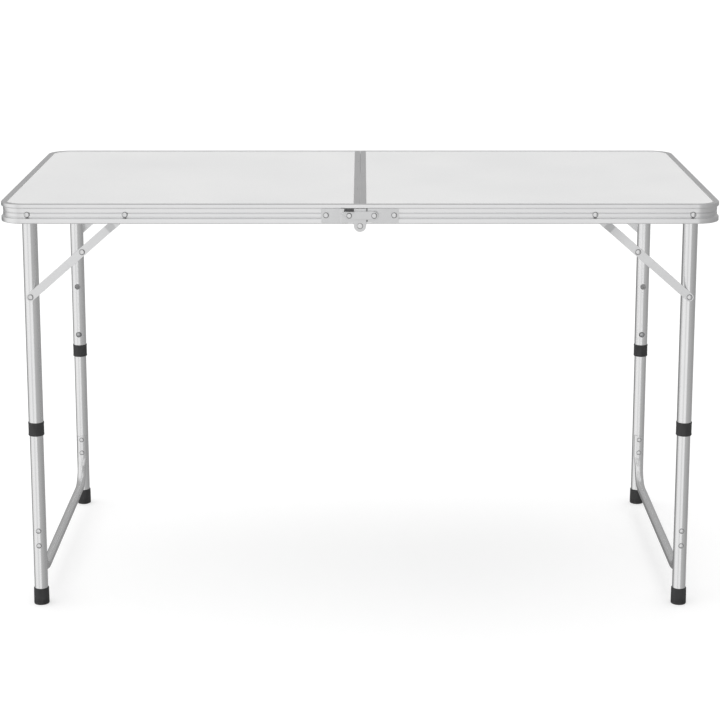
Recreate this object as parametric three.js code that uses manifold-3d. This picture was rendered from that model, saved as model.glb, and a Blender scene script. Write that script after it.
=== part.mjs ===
// Folding suitcase picnic table, in millimetres, +Z up.
// The origin is on the ground under the middle of the open table.
// +X runs along the length of the top, and +Y across it, towards the rear edge.
import * as THREE from 'three';
import { mergeVertices } from 'three/addons/utils/BufferGeometryUtils.js';
import Module from 'manifold-3d';

const wasm = await Module();
wasm.setup();

// ---------------------------------------------------------------- driving dimensions
const halfLength = 600;
const halfWidth = 300;
const topZ = 706;
const gap = 0.3;

// Edge frame: an aluminium extrusion with a bead at its top and at its bottom.
const cornerRadius = 41;
const frameDepth = 32.5;
const frameBottom = topZ - frameDepth;
const lipWidth = 10;
const lipThickness = 1.4;
const beadHeight = 6;
const wallInset = 3;
const wallThickness = 1.5;
const wallOuter = halfWidth - wallInset;
const wallInner = wallOuter - wallThickness;
const bottomBeadInner = wallInner - 1;

// Top panels.
const panelTop = topZ - 0.8;
const panelThickness = 3;
const panelBottom = panelTop - panelThickness;
const tongueTop = topZ - lipThickness - gap;
const tongueInset = wallInset + wallThickness + 0.6;
const ledgeInset = 12;
const ledgeThickness = 1.5;
const ledgeTop = panelBottom - gap;

// Centre rails, which meet over the folding line.
const railLip = 10.2;
const railWall = 2.2;
const railFlange = 8;
const railLedge = 14;
const railWallHalfWidth = 241;

// Legs.
const legX = 551.7;
const legY = 271.4;
const pivotZ = 688.5;
const upperRadius = 12.5;
const upperWall = 0.8;
const upperBottom = 306.3;
const upperTop = pivotZ + 4.5;
const lowerRadius = 11.5;
const lowerWall = 1;
const lowerBottom = 3.3;
const lowerTop = 385;
const lowerHole = 347.5;
const upperHole = 443.5;
const buttonHoleRadius = 4.7;
const drillStart = legY - 20;
const drillEnd = legY + 20;
const collarBottom = 302.6;
const collarTop = 326;
const collarRadius = 13.5;
const footHeight = 29;
const footRadius = 13.25;
const crossTubeRadius = 9.5;
const crossTubeWall = 1.5;

// Stretcher between the two lower legs of a set.
const stretcherRadius = 8;
const stretcherZ = 48;
const stretcherTop = 141;
const stretcherBend = 40;
const stretcherRivets = [107.5, 134];

// Folding braces. A is on the leg, M is the elbow and F is on the edge frame.
const braceA = new THREE.Vector2(legX, 546);
const braceF = new THREE.Vector2(389.5, pivotZ);
const braceReach = braceA.distanceTo(braceF);
const legArm = pivotZ - braceA.y;
const frameArm = legX - braceF.x;
const upperLink = (braceReach - (frameArm - legArm)) / 2;
const lowerLink = (braceReach + (frameArm - legArm)) / 2;
const linkHalfWidth = 7;
const linkThickness = 2;
const linkTail = 25;
const lowerLinkY = 284.3;
const upperLinkY = lowerLinkY + linkThickness + 0.4;
const upperLinkWallY = bottomBeadInner - 0.5 - linkThickness;
const linkJogFrom = 20;
const linkJogTo = 35;

// Rivets.
const rivetHead = 5;
const rivetHeadHeight = 1.9;
const rivetShank = 2.5;
const pivotShank = 3;
const pivotCollar = 7;
const rivetClearance = 0.4;

// Centre hinges and the levers that lock them.
const hingePivotZ = 670.7;
const hingeLugRadius = 10;
const hingeRoot = 20;
const hingePlateBottom = 675.5;
const hingePlateTop = 701;
const hingePlateEnd = 64;
const hingePlateSplit = 10.75;
const hingeSheet = 1.5;
const hingeInnerY = halfWidth + gap;
const hingeOuterY = hingeInnerY + hingeSheet + gap;
const leverY = hingeOuterY + hingeSheet + gap;
const leverPivotX = 23.4;
const leverHalfHeight = 8;
const keeperX = -17.9;
const keeperRadius = 3;
const keeperSlot = 3.5;
const latchTabWidth = 6;
const latchTipReach = 13.9;
const hingeNotchDepth = 3.5;
const hingeRivetX = 56.4;

// Carry handle and clasps on the rear edge.
const handleX = -300;
const handleHalfSpan = 58;
const handleDrop = 27;
const handleY = 307;
const handlePivotZ = 691;
const handleRadius = 4.5;
const claspOffset = 130;
const claspLength = 2 * (pivotZ - hingePivotZ);
const claspHalfHeight = 7;
const claspY = halfWidth + gap;

const roundSides = 20;
const smallSides = 10;
const arcSides = 5;

// ---------------------------------------------------------------- materials
const aluminium = new THREE.MeshStandardMaterial({ color: 0xd4d5d6, roughness: 0.42, metalness: 0.9 });
const tubeAluminium = new THREE.MeshStandardMaterial({ color: 0xd0d1d3, roughness: 0.36, metalness: 0.9 });
const zincSteel = new THREE.MeshStandardMaterial({ color: 0xc4c6c8, roughness: 0.4, metalness: 0.9 });
const laminate = new THREE.MeshStandardMaterial({ color: 0xdcdcdb, roughness: 0.5, metalness: 0 });
const blackPlastic = new THREE.MeshStandardMaterial({ color: 0x1f2022, roughness: 0.55, metalness: 0 });

// ---------------------------------------------------------------- geometry helpers

// Merges shared corners, drops empty triangles and turns every face outwards.
function closed(geometry) {
  const bare = geometry.clone();
  bare.deleteAttribute('normal');
  bare.deleteAttribute('uv');
  const merged = mergeVertices(bare, 1e-4);
  const corners = merged.index.array;
  const kept = [];
  for (let i = 0; i < corners.length; i += 3) {
    const [a, b, c] = [corners[i], corners[i + 1], corners[i + 2]];
    if (a !== b && b !== c && a !== c) kept.push(a, b, c);
  }
  merged.setIndex(kept);
  if (volume(merged) < 0) merged.setIndex(kept.reverse());
  return merged;
}

function volume(geometry) {
  const position = geometry.attributes.position;
  const index = geometry.index.array;
  const [a, b, c] = [new THREE.Vector3(), new THREE.Vector3(), new THREE.Vector3()];
  let sum = 0;
  for (let i = 0; i < index.length; i += 3) {
    a.fromBufferAttribute(position, index[i]);
    b.fromBufferAttribute(position, index[i + 1]);
    c.fromBufferAttribute(position, index[i + 2]);
    sum += a.dot(b.cross(c));
  }
  return sum / 6;
}

function solid(geometry) {
  const shell = closed(geometry);
  return new wasm.Manifold(new wasm.Mesh({
    numProp: 3,
    vertProperties: new Float32Array(shell.attributes.position.array),
    triVerts: new Uint32Array(shell.index.array),
  }));
}

function geometryOf(manifold) {
  const { vertProperties, triVerts } = manifold.getMesh();
  const geometry = new THREE.BufferGeometry();
  geometry.setAttribute('position', new THREE.BufferAttribute(vertProperties, 3));
  geometry.setIndex(new THREE.BufferAttribute(triVerts, 1));
  return geometry;
}

function join(...geometries) {
  return geometryOf(geometries.map(solid).reduce((whole, piece) => whole.add(piece)));
}

function cut(geometry, ...tools) {
  return geometryOf(tools.map(solid).reduce((whole, tool) => whole.subtract(tool), solid(geometry)));
}

function overlap(first, second) {
  return geometryOf(solid(first).intersect(solid(second)));
}

// A copy flipped to the other side of the X or Y middle plane.
function mirrored(geometry, signX, signY) {
  return closed(geometry.clone().scale(signX, signY, 1));
}

function box(lowX, highX, lowY, highY, lowZ, highZ) {
  const block = new THREE.BoxGeometry(highX - lowX, highY - lowY, highZ - lowZ);
  return block.translate((lowX + highX) / 2, (lowY + highY) / 2, (lowZ + highZ) / 2);
}

// An outline in X and Y, standing from one height to another.
function slab(outline, lowZ, highZ, curveSegments = arcSides) {
  const options = { depth: highZ - lowZ, bevelEnabled: false, curveSegments };
  return new THREE.ExtrudeGeometry(outline, options).translate(0, 0, lowZ);
}

// An outline in X and Z, running from one Y to another.
function plate(outline, lowY, highY, curveSegments = arcSides) {
  const options = { depth: highY - lowY, bevelEnabled: false, curveSegments };
  return new THREE.ExtrudeGeometry(outline, options).rotateX(Math.PI / 2).translate(0, highY, 0);
}

// A profile of [radius, y] points turned about a line along Y.
function turnedAlongY(profile, x, z, sides = smallSides) {
  const points = profile.map(([radius, y]) => new THREE.Vector2(radius, y));
  return new THREE.LatheGeometry(points, sides).translate(x, 0, z);
}

// A profile of [radius, z] points turned about a line along Z.
function turnedAlongZ(profile, x, y, sides = roundSides) {
  const points = profile.map(([radius, z]) => new THREE.Vector2(radius, z));
  return new THREE.LatheGeometry(points, sides).rotateX(Math.PI / 2).translate(x, y, 0);
}

function pinAlongY(radius, lowY, highY, x, z, sides = smallSides) {
  return turnedAlongY([[0, lowY], [radius, lowY], [radius, highY], [0, highY]], x, z, sides);
}

function tubeAlongZ(radius, wall, lowZ, highZ, x, y) {
  const bore = radius - wall;
  return turnedAlongZ([[radius, lowZ], [radius, highZ], [bore, highZ], [bore, lowZ], [radius, lowZ]], x, y);
}

// A domed rivet head whose flat side is at lowY and whose top is further out.
function headProfile(radius, lowY, height = rivetHeadHeight) {
  const crown = lowY + height;
  return [[0, crown], [radius * 0.75, crown - height * 0.3], [radius, lowY]];
}

// ---------------------------------------------------------------- table halves

// The plan of the edge frame between two insets from its outer face: a U open towards the centre.
function frameBand(outerInset, innerInset, lowZ, highZ) {
  const arcX = halfLength - cornerRadius;
  const arcY = halfWidth - cornerRadius;
  const outline = new THREE.Shape();
  const outer = cornerRadius - outerInset;
  const inner = cornerRadius - innerInset;
  outline.moveTo(gap / 2, -halfWidth + outerInset);
  outline.lineTo(arcX, -halfWidth + outerInset);
  outline.absarc(arcX, -arcY, outer, -Math.PI / 2, 0, false);
  outline.absarc(arcX, arcY, outer, 0, Math.PI / 2, false);
  outline.lineTo(gap / 2, halfWidth - outerInset);
  outline.lineTo(gap / 2, halfWidth - innerInset);
  outline.absarc(arcX, arcY, inner, Math.PI / 2, 0, true);
  outline.absarc(arcX, -arcY, inner, 0, -Math.PI / 2, true);
  outline.lineTo(gap / 2, -halfWidth + innerInset);
  return slab(outline, lowZ, highZ);
}

function edgeFrame(holeXs) {
  const inside = wallInset + wallThickness;
  const lip = frameBand(0, lipWidth, topZ - lipThickness, topZ);
  const topBead = frameBand(0, inside, topZ - beadHeight, topZ - lipThickness / 2);
  const wall = frameBand(wallInset, inside, frameBottom + beadHeight / 2, topZ - beadHeight / 2);
  const bottomBead = frameBand(0, halfWidth - bottomBeadInner, frameBottom, frameBottom + beadHeight);
  const ledge = frameBand(inside - 0.5, ledgeInset, ledgeTop - ledgeThickness, ledgeTop);
  const frame = join(lip, topBead, wall, bottomBead, ledge);
  const holes = holeXs.map(([x, radius]) => pinAlongY(radius, -halfWidth - 5, halfWidth + 5, x, pivotZ));
  return cut(frame, ...holes);
}

// A rounded panel outline: inset from the outer edges, and starting at startX from the centre.
function panelOutline(inset, startX) {
  const arcX = halfLength - cornerRadius;
  const arcY = halfWidth - cornerRadius;
  const radius = cornerRadius - inset;
  const outline = new THREE.Shape();
  outline.moveTo(startX, -halfWidth + inset);
  outline.lineTo(arcX, -halfWidth + inset);
  outline.absarc(arcX, -arcY, radius, -Math.PI / 2, 0, false);
  outline.absarc(arcX, arcY, radius, 0, Math.PI / 2, false);
  outline.lineTo(startX, halfWidth - inset);
  return outline;
}

function topPanel() {
  const raised = slab(panelOutline(lipWidth + gap, railLip + gap), panelBottom, panelTop);
  const tongue = slab(panelOutline(tongueInset, railWall + gap), panelBottom, tongueTop);
  return join(raised, tongue);
}

// The wall stops short at each end so that a leg tube can swing past it.
function centreRail() {
  const start = gap / 2;
  const reach = halfWidth - lipWidth - gap;
  const lip = box(start, railLip, -reach, reach, topZ - lipThickness, topZ);
  const web = box(start, railWall, -reach, reach, panelBottom + gap, topZ - lipThickness / 2);
  const wall = box(start, railWall, -railWallHalfWidth, railWallHalfWidth, frameBottom, topZ - lipThickness / 2);
  const flange = box(start, railFlange, -railWallHalfWidth, railWallHalfWidth, frameBottom, frameBottom + 1.5);
  const ledge = box(start, railLedge, -railWallHalfWidth, railWallHalfWidth, ledgeTop - ledgeThickness, ledgeTop);
  return join(lip, web, wall, flange, ledge);
}

// ---------------------------------------------------------------- legs, for the right rear corner

function upperLegTube() {
  const tube = tubeAlongZ(upperRadius, upperWall, upperBottom, upperTop, legX, legY);
  const pivotHole = pinAlongY(pivotShank + rivetClearance, drillStart, drillEnd, legX, pivotZ);
  const braceHole = pinAlongY(rivetShank + rivetClearance, legY, drillEnd, legX, braceA.y);
  const buttonHole = (z) => pinAlongY(buttonHoleRadius, drillStart, legY, legX, z);
  return cut(tube, pivotHole, braceHole, buttonHole(lowerHole), buttonHole(upperHole));
}

function lowerLegTube() {
  const tube = tubeAlongZ(lowerRadius, lowerWall, lowerBottom, lowerTop, legX, legY);
  const buttonHole = pinAlongY(buttonHoleRadius, drillStart, legY, legX, lowerHole);
  const rivetHole = (z) => pinAlongY(rivetShank + rivetClearance, drillStart, drillEnd, legX, z);
  return cut(tube, buttonHole, ...stretcherRivets.map(rivetHole));
}

// A sleeve on the bottom of the upper tube, with a narrower bore for the lower tube.
function collar() {
  const sleeveBore = upperRadius + gap;
  const guideBore = lowerRadius + 0.4;
  const shoulder = upperBottom - gap;
  const profile = [
    [guideBore, collarBottom], [collarRadius - 0.6, collarBottom], [collarRadius, collarBottom + 0.8],
    [collarRadius, collarTop - 0.8], [collarRadius - 0.5, collarTop], [sleeveBore, collarTop],
    [sleeveBore, shoulder], [guideBore, shoulder], [guideBore, collarBottom],
  ];
  return turnedAlongZ(profile, legX, legY);
}

function footCap() {
  const bore = lowerRadius + gap;
  const profile = [
    [0, 0], [footRadius - 1, 0], [footRadius, 1.2], [footRadius - 0.3, footHeight - 0.8],
    [footRadius - 0.9, footHeight], [bore, footHeight], [bore, lowerBottom - gap], [0, lowerBottom - gap],
  ];
  return turnedAlongZ(profile, legX, legY);
}

// A domed button on the end of a V-shaped strip of spring steel inside the tube.
function snapButton() {
  const base = legY - 9.2;
  const domeTop = legY - upperRadius - 2.6;
  const buttonRadius = 4.2;
  const dome = turnedAlongY([
    [0, base], [buttonRadius, base], [buttonRadius, domeTop + 2.4],
    [buttonRadius * 0.75, domeTop + 0.8], [0, domeTop],
  ], legX, lowerHole);
  const springReach = 9.4;
  const springSheet = 0.9;
  const springWidth = 6;
  const armTop = lowerHole + 5;
  const armBottom = lowerHole - 6;
  const springBottom = lowerHole - 44;
  const innerReach = springReach - springSheet;
  const innerBottom = springBottom + 1.2;
  const arms = new THREE.Shape([
    new THREE.Vector2(-springReach, armTop), new THREE.Vector2(-springReach, armBottom),
    new THREE.Vector2(-1.6, springBottom), new THREE.Vector2(1.6, springBottom),
    new THREE.Vector2(springReach, armBottom), new THREE.Vector2(springReach, armTop),
    new THREE.Vector2(innerReach, armTop), new THREE.Vector2(innerReach, armBottom),
    new THREE.Vector2(1, innerBottom), new THREE.Vector2(-1, innerBottom),
    new THREE.Vector2(-innerReach, armBottom), new THREE.Vector2(-innerReach, armTop),
  ]);
  const strip = new THREE.ExtrudeGeometry(arms, { depth: springWidth, bevelEnabled: false });
  strip.translate(0, 0, -springWidth / 2).rotateX(Math.PI / 2).rotateZ(Math.PI / 2).translate(legX, legY, 0);
  return join(dome, strip);
}

// The round tube that a leg set turns on, notched round the two upper tubes.
function crossTube() {
  const bore = crossTubeRadius - crossTubeWall;
  const end = legY - 4;
  const tube = turnedAlongY([
    [crossTubeRadius, -end], [crossTubeRadius, end], [bore, end], [bore, -end], [crossTubeRadius, -end],
  ], legX, pivotZ, roundSides);
  const legSpace = (y) => turnedAlongZ([
    [0, pivotZ - 30], [upperRadius + gap, pivotZ - 30], [upperRadius + gap, pivotZ + 30], [0, pivotZ + 30],
  ], legX, y);
  return cut(tube, legSpace(-legY), legSpace(legY));
}

// A bent tube up the inner faces of both lower legs, riveted to them.
function stretcher() {
  const side = legY - lowerRadius - gap - stretcherRadius;
  const point = (y, z) => new THREE.Vector3(legX, y, z);
  const bendStart = stretcherZ + stretcherBend;
  const flatStart = side - stretcherBend;
  const path = new THREE.CurvePath();
  path.add(new THREE.LineCurve3(point(-side, stretcherTop), point(-side, bendStart)));
  path.add(new THREE.QuadraticBezierCurve3(
    point(-side, bendStart), point(-side, stretcherZ), point(-flatStart, stretcherZ)));
  path.add(new THREE.LineCurve3(point(-flatStart, stretcherZ), point(flatStart, stretcherZ)));
  path.add(new THREE.QuadraticBezierCurve3(
    point(flatStart, stretcherZ), point(side, stretcherZ), point(side, bendStart)));
  path.add(new THREE.LineCurve3(point(side, bendStart), point(side, stretcherTop)));
  const section = new THREE.Shape().absarc(0, 0, stretcherRadius, 0, 2 * Math.PI, false);
  const tube = new THREE.ExtrudeGeometry(section, { steps: 30, curveSegments: 5, extrudePath: path });
  const outerFace = legY + lowerRadius + gap;
  const rivet = (z) => turnedAlongY([
    ...headProfile(rivetHead - 0.5, outerFace, 1.6), [rivetShank, outerFace], [rivetShank, side], [0, side],
  ], legX, z);
  const rivets = stretcherRivets.flatMap((z) => [rivet(z), mirrored(rivet(z), 1, -1)]);
  return join(tube, ...rivets);
}

function legPivotRivet() {
  const wallFace = wallOuter + gap;
  const collarEnd = wallInner - gap;
  const legFace = legY + upperRadius + gap;
  const innerFace = legY - upperRadius - 2;
  const profile = [
    ...headProfile(rivetHead, wallFace), [pivotShank, wallFace], [pivotShank, collarEnd],
    [pivotCollar, collarEnd], [pivotCollar, legFace], [pivotShank, legFace],
    [pivotShank, innerFace], [rivetHead, innerFace], [rivetHead * 0.7, innerFace - 1.6], [0, innerFace - 1.8],
  ];
  return turnedAlongY(profile, legX, pivotZ);
}

// ---------------------------------------------------------------- folding braces, right rear corner

// A bar in X and Z from the origin along +X, with round ends past both holes.
function linkOutline(length, tail) {
  const outline = new THREE.Shape();
  outline.absarc(0, 0, linkHalfWidth, Math.PI / 2, 3 * Math.PI / 2, false);
  outline.absarc(length + tail, 0, linkHalfWidth, -Math.PI / 2, Math.PI / 2, false);
  return outline;
}

function placedLink(geometry, start, end) {
  const slope = Math.atan2(end.y - start.y, end.x - start.x);
  return geometry.rotateY(-slope).translate(start.x, 0, start.y);
}

function elbow() {
  return braceA.clone().lerp(braceF, lowerLink / braceReach);
}

// The inner bar, with the rivet that holds it to the upper leg tube.
function lowerBraceLink() {
  const outerY = lowerLinkY + linkThickness;
  const bar = plate(linkOutline(lowerLink, 0), lowerLinkY, outerY);
  const elbowHole = pinAlongY(rivetShank + 0.7, lowerLinkY - 1, outerY + 1, lowerLink, 0);
  const insideTube = legY + upperRadius - 1.9;
  const rivet = turnedAlongY([
    ...headProfile(rivetHead, outerY - 0.1), [rivetShank, outerY - 0.1], [rivetShank, insideTube],
    [rivetShank + 1.5, insideTube], [rivetShank + 1.5, insideTube - 1.4], [0, insideTube - 1.4],
  ], 0, 0);
  return placedLink(join(cut(bar, elbowHole), rivet), braceA, elbow());
}

// The outer bar: it steps out to the frame wall, and its tail stops the brace when it is straight.
function upperBraceLink() {
  const t = linkThickness;
  const end = upperLink + linkTail + linkHalfWidth + 1;
  const start = -linkHalfWidth - 1;
  const strip = new THREE.Shape([
    new THREE.Vector2(start, upperLinkWallY), new THREE.Vector2(linkJogFrom, upperLinkWallY),
    new THREE.Vector2(linkJogTo, upperLinkY), new THREE.Vector2(end, upperLinkY),
    new THREE.Vector2(end, upperLinkY + t), new THREE.Vector2(linkJogTo, upperLinkY + t),
    new THREE.Vector2(linkJogFrom, upperLinkWallY + t), new THREE.Vector2(start, upperLinkWallY + t),
  ]);
  const bent = slab(strip, -linkHalfWidth - 1, linkHalfWidth + 1);
  const outline = plate(linkOutline(upperLink, linkTail), upperLinkY - 1, upperLinkWallY + t + 1);
  const bar = overlap(bent, outline);
  const elbowFace = upperLinkY + t - 0.1;
  const elbowRivet = turnedAlongY([...headProfile(rivetHead, elbowFace), [0, elbowFace]], upperLink, 0);
  const wallFace = wallOuter + gap;
  const frameRivet = turnedAlongY([
    ...headProfile(rivetHead, wallFace), [rivetShank, wallFace], [rivetShank, upperLinkWallY + 0.5],
    [0, upperLinkWallY + 0.5],
  ], 0, 0);
  return placedLink(join(bar, elbowRivet, frameRivet), braceF, elbow());
}

// ---------------------------------------------------------------- centre hinges, rear edge

// The round lug below a hinge plate, widening into the plate.
function lugOutline() {
  const root = hingePlateBottom + 2;
  const outline = new THREE.Shape();
  outline.moveTo(-hingePlateSplit, root);
  outline.lineTo(-hingeRoot, root);
  outline.lineTo(-hingeRoot, hingePlateBottom - 1);
  outline.quadraticCurveTo(-hingeLugRadius, hingePlateBottom - 2, -hingeLugRadius, hingePivotZ);
  outline.absarc(0, hingePivotZ, hingeLugRadius, Math.PI, 2 * Math.PI, false);
  outline.quadraticCurveTo(hingeLugRadius, hingePlateBottom - 2, hingeRoot, hingePlateBottom - 1);
  outline.lineTo(hingeRoot, root);
  return outline;
}

function hingePivotHole() {
  return pinAlongY(pivotShank + rivetClearance, wallOuter, leverY + 9, 0, hingePivotZ);
}

function plateRivet(x, lowY) {
  return turnedAlongY([...headProfile(rivetHead, lowY), [0, lowY]], x, pivotZ);
}

// The left plate is bent outwards near the middle, so that its lug covers the right plate's lug.
function leftHingePlate() {
  const step = -hingeRoot - 4;
  const inner = box(-hingePlateEnd, step + hingeSheet, hingeInnerY, hingeInnerY + hingeSheet,
    hingePlateBottom, hingePlateTop);
  const bend = box(step, step + hingeSheet, hingeInnerY, hingeOuterY + hingeSheet, hingePlateBottom, hingePlateTop);
  const outer = box(step, hingePlateSplit, hingeOuterY, hingeOuterY + hingeSheet,
    hingePlateBottom, hingePlateTop);
  const notch = box(keeperX + 10, hingePlateSplit + 1, hingeOuterY - 1, hingeOuterY + 5,
    hingePlateTop - hingeNotchDepth, hingePlateTop + 1);
  const lug = plate(lugOutline(), hingeOuterY, hingeOuterY + hingeSheet);
  const whole = join(inner, bend, cut(outer, notch), lug);
  const rivet = plateRivet(-hingeRivetX, hingeInnerY + hingeSheet - 0.1);
  return join(cut(whole, hingePivotHole()), rivet);
}

function rightHingePlate() {
  const inner = box(-hingeLugRadius, hingePlateEnd, hingeInnerY, hingeInnerY + hingeSheet,
    hingePlateBottom, hingePlateTop - 4);
  const corner = box(hingePlateSplit + gap, hingePlateEnd, hingeInnerY, hingeInnerY + hingeSheet,
    hingePlateTop - 5, hingePlateTop);
  const lug = plate(lugOutline(), hingeInnerY, hingeInnerY + hingeSheet);
  const whole = cut(join(inner, corner, lug), hingePivotHole());
  const face = hingeInnerY + hingeSheet - 0.1;
  const leverPin = turnedAlongY([
    [0, face], [pivotShank + 1.5, face], [pivotShank + 1.5, leverY - gap], [pivotShank, leverY - gap],
    [pivotShank, leverY + hingeSheet + gap], ...headProfile(rivetHead, leverY + hingeSheet + gap).reverse(),
  ], leverPivotX, pivotZ);
  return join(whole, plateRivet(hingeRivetX, face), leverPin);
}

// Its inner end is flush with the inner plate, clear of the frame's bottom bead.
function hingePivotRivet() {
  const face = hingeOuterY + hingeSheet + gap;
  const profile = [
    ...headProfile(rivetHead, face, 1.4), [pivotShank, face], [pivotShank, hingeInnerY], [0, hingeInnerY],
  ];
  return turnedAlongY(profile, 0, hingePivotZ);
}

function keeperPin() {
  const face = hingeOuterY + hingeSheet + gap;
  return turnedAlongY([
    [0, face], [keeperRadius, face], [keeperRadius, leverY + hingeSheet + gap],
    ...headProfile(rivetHead - 0.4, leverY + hingeSheet + gap).reverse(),
  ], keeperX, pivotZ);
}

// The lever turns on the right plate, and its open slot drops over the keeper pin.
function latchLever() {
  const top = pivotZ + leverHalfHeight;
  const bottom = pivotZ - leverHalfHeight;
  const hookBottom = pivotZ - 1;
  const hookEnd = keeperX - keeperSlot - 3;
  const tip = keeperX - latchTipReach;
  const outline = new THREE.Shape();
  outline.moveTo(keeperX + keeperSlot, bottom);
  outline.lineTo(leverPivotX, bottom);
  outline.absarc(leverPivotX, pivotZ, leverHalfHeight, -Math.PI / 2, Math.PI / 2, false);
  outline.lineTo(tip + 3, top);
  outline.lineTo(tip, top - 3.5);
  outline.lineTo(hookEnd, hookBottom);
  outline.lineTo(keeperX - keeperSlot, hookBottom);
  outline.lineTo(keeperX - keeperSlot, pivotZ);
  outline.absarc(keeperX, pivotZ, keeperSlot, Math.PI, 0, true);
  const blade = plate(outline, leverY, leverY + hingeSheet);
  const tab = box(tip + 5, keeperX + 9, leverY, leverY + latchTabWidth, top - hingeSheet, top);
  const pinHole = pinAlongY(pivotShank + rivetClearance, leverY - 2, leverY + 8, leverPivotX, pivotZ);
  return cut(join(blade, tab), pinHole);
}

// ---------------------------------------------------------------- carry handle and clasps, rear edge

// A moulded ear on the frame wall that holds one end of the handle.
function handleBracket(x) {
  const wide = 12;
  const ear = box(x - wide / 2, x + wide / 2, wallOuter + gap, handleY + 5, handlePivotZ - 5, handlePivotZ + 5);
  const hole = new THREE.CylinderGeometry(2.9, 2.9, wide + 2, smallSides).rotateZ(Math.PI / 2);
  return cut(ear, hole.translate(x, handleY, handlePivotZ));
}

// A hanging bail with a thick grip, turning on two short pins.
function carryHandle() {
  const arm = handleHalfSpan - 12;
  const low = handlePivotZ - handleDrop;
  const grip = new THREE.CylinderGeometry(handleRadius, handleRadius, 2 * arm, smallSides);
  grip.rotateZ(Math.PI / 2).translate(handleX, handleY, low);
  const sides = [-1, 1].map((side) => box(
    handleX + side * arm - 4, handleX + side * arm + 4, handleY - 3.5, handleY + 3.5, low - 3.5, handlePivotZ + 3.5));
  const pins = [-1, 1].map((side) => new THREE.CylinderGeometry(2.5, 2.5, 14, smallSides)
    .rotateZ(Math.PI / 2).translate(handleX + side * (arm + 9), handleY, handlePivotZ));
  return join(grip, ...sides, ...pins);
}

// A hook that turns on its rivet; it reaches the stud on the other half when the case is shut.
function claspLever(x) {
  const outline = new THREE.Shape();
  const slotX = x + claspLength;
  const slot = keeperRadius + 0.6;
  outline.moveTo(x, pivotZ - claspHalfHeight);
  outline.lineTo(slotX + 9, pivotZ - claspHalfHeight);
  outline.lineTo(slotX + 9, pivotZ + 1);
  outline.lineTo(slotX + slot, pivotZ + 1);
  outline.lineTo(slotX + slot, pivotZ);
  outline.absarc(slotX, pivotZ, slot, 0, Math.PI, true);
  outline.lineTo(slotX - slot, pivotZ + claspHalfHeight);
  outline.lineTo(x, pivotZ + claspHalfHeight);
  outline.absarc(x, pivotZ, claspHalfHeight, Math.PI / 2, 3 * Math.PI / 2, false);
  const blade = plate(outline, claspY, claspY + hingeSheet);
  const tab = box(slotX + 7.5, slotX + 9, claspY, claspY + 6, pivotZ - claspHalfHeight, pivotZ + 1);
  const face = claspY + hingeSheet - 0.1;
  const rivet = turnedAlongY([
    ...headProfile(rivetHead, face), [rivetShank, face], [rivetShank, wallInner - gap - 1.5],
    [0, wallInner - gap - 1.5],
  ], x, pivotZ);
  return join(blade, tab, rivet);
}

function catchStud(x) {
  const flange = claspY + hingeSheet + gap;
  const profile = [
    [0, wallInner - gap - 1.5], [rivetShank, wallInner - gap - 1.5], [rivetShank, wallOuter + gap],
    [keeperRadius, wallOuter + gap], [keeperRadius, flange], ...headProfile(rivetHead - 0.4, flange).reverse(),
  ];
  return turnedAlongY(profile, x, pivotZ);
}

// ---------------------------------------------------------------- the table

const table = new THREE.Group();

function add(name, geometry, material) {
  const mesh = new THREE.Mesh(closed(geometry), material);
  mesh.name = name;
  table.add(mesh);
}

const sides = [['left', -1], ['right', 1]];
const rows = [['front', -1], ['rear', 1]];
const claspXs = [handleX - claspOffset, handleX + claspOffset];
const pivotHoles = [[legX, pivotShank + rivetClearance], [braceF.x, rivetShank + rivetClearance]];
const claspHoles = claspXs.map((x) => [Math.abs(x), rivetShank + rivetClearance]);

const frameGeometry = edgeFrame([...pivotHoles, ...claspHoles]);
const panelGeometry = topPanel();
const railGeometry = centreRail();
const crossTubeGeometry = crossTube();
const stretcherGeometry = stretcher();

for (const [side, signX] of sides) {
  add(`${side}_edge_frame`, mirrored(frameGeometry, signX, 1), aluminium);
  add(`${side}_top_panel`, mirrored(panelGeometry, signX, 1), laminate);
  add(`${side}_centre_rail`, mirrored(railGeometry, signX, 1), aluminium);
  add(`${side}_leg_cross_tube`, mirrored(crossTubeGeometry, signX, 1), tubeAluminium);
  add(`${side}_stretcher`, mirrored(stretcherGeometry, signX, 1), tubeAluminium);
}

const cornerPieces = [
  ['upper_leg', upperLegTube(), tubeAluminium],
  ['lower_leg', lowerLegTube(), tubeAluminium],
  ['leg_collar', collar(), blackPlastic],
  ['foot_cap', footCap(), blackPlastic],
  ['snap_button', snapButton(), zincSteel],
  ['leg_pivot_rivet', legPivotRivet(), zincSteel],
  ['lower_brace_link', lowerBraceLink(), zincSteel],
  ['upper_brace_link', upperBraceLink(), zincSteel],
];
for (const [piece, geometry, material] of cornerPieces) {
  for (const [side, signX] of sides) {
    for (const [row, signY] of rows) {
      add(`${side}_${row}_${piece}`, mirrored(geometry, signX, signY), material);
    }
  }
}

const hingePieces = [
  ['hinge_left_plate', leftHingePlate()],
  ['hinge_right_plate', rightHingePlate()],
  ['hinge_pivot_rivet', hingePivotRivet()],
  ['latch_keeper_pin', keeperPin()],
  ['latch_lever', latchLever()],
];
for (const [piece, geometry] of hingePieces) {
  for (const [row, signY] of rows) {
    add(`${row}_${piece}`, mirrored(geometry, 1, signY), zincSteel);
  }
}

add('carry_handle', carryHandle(), blackPlastic);
add('outer_handle_bracket', handleBracket(handleX - handleHalfSpan + 1), blackPlastic);
add('inner_handle_bracket', handleBracket(handleX + handleHalfSpan - 1), blackPlastic);
add('outer_clasp_lever', claspLever(claspXs[0]), zincSteel);
add('inner_clasp_lever', claspLever(claspXs[1]), zincSteel);
add('outer_catch_stud', catchStud(-claspXs[0]), zincSteel);
add('inner_catch_stud', catchStud(-claspXs[1]), zincSteel);

export default table;
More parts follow.
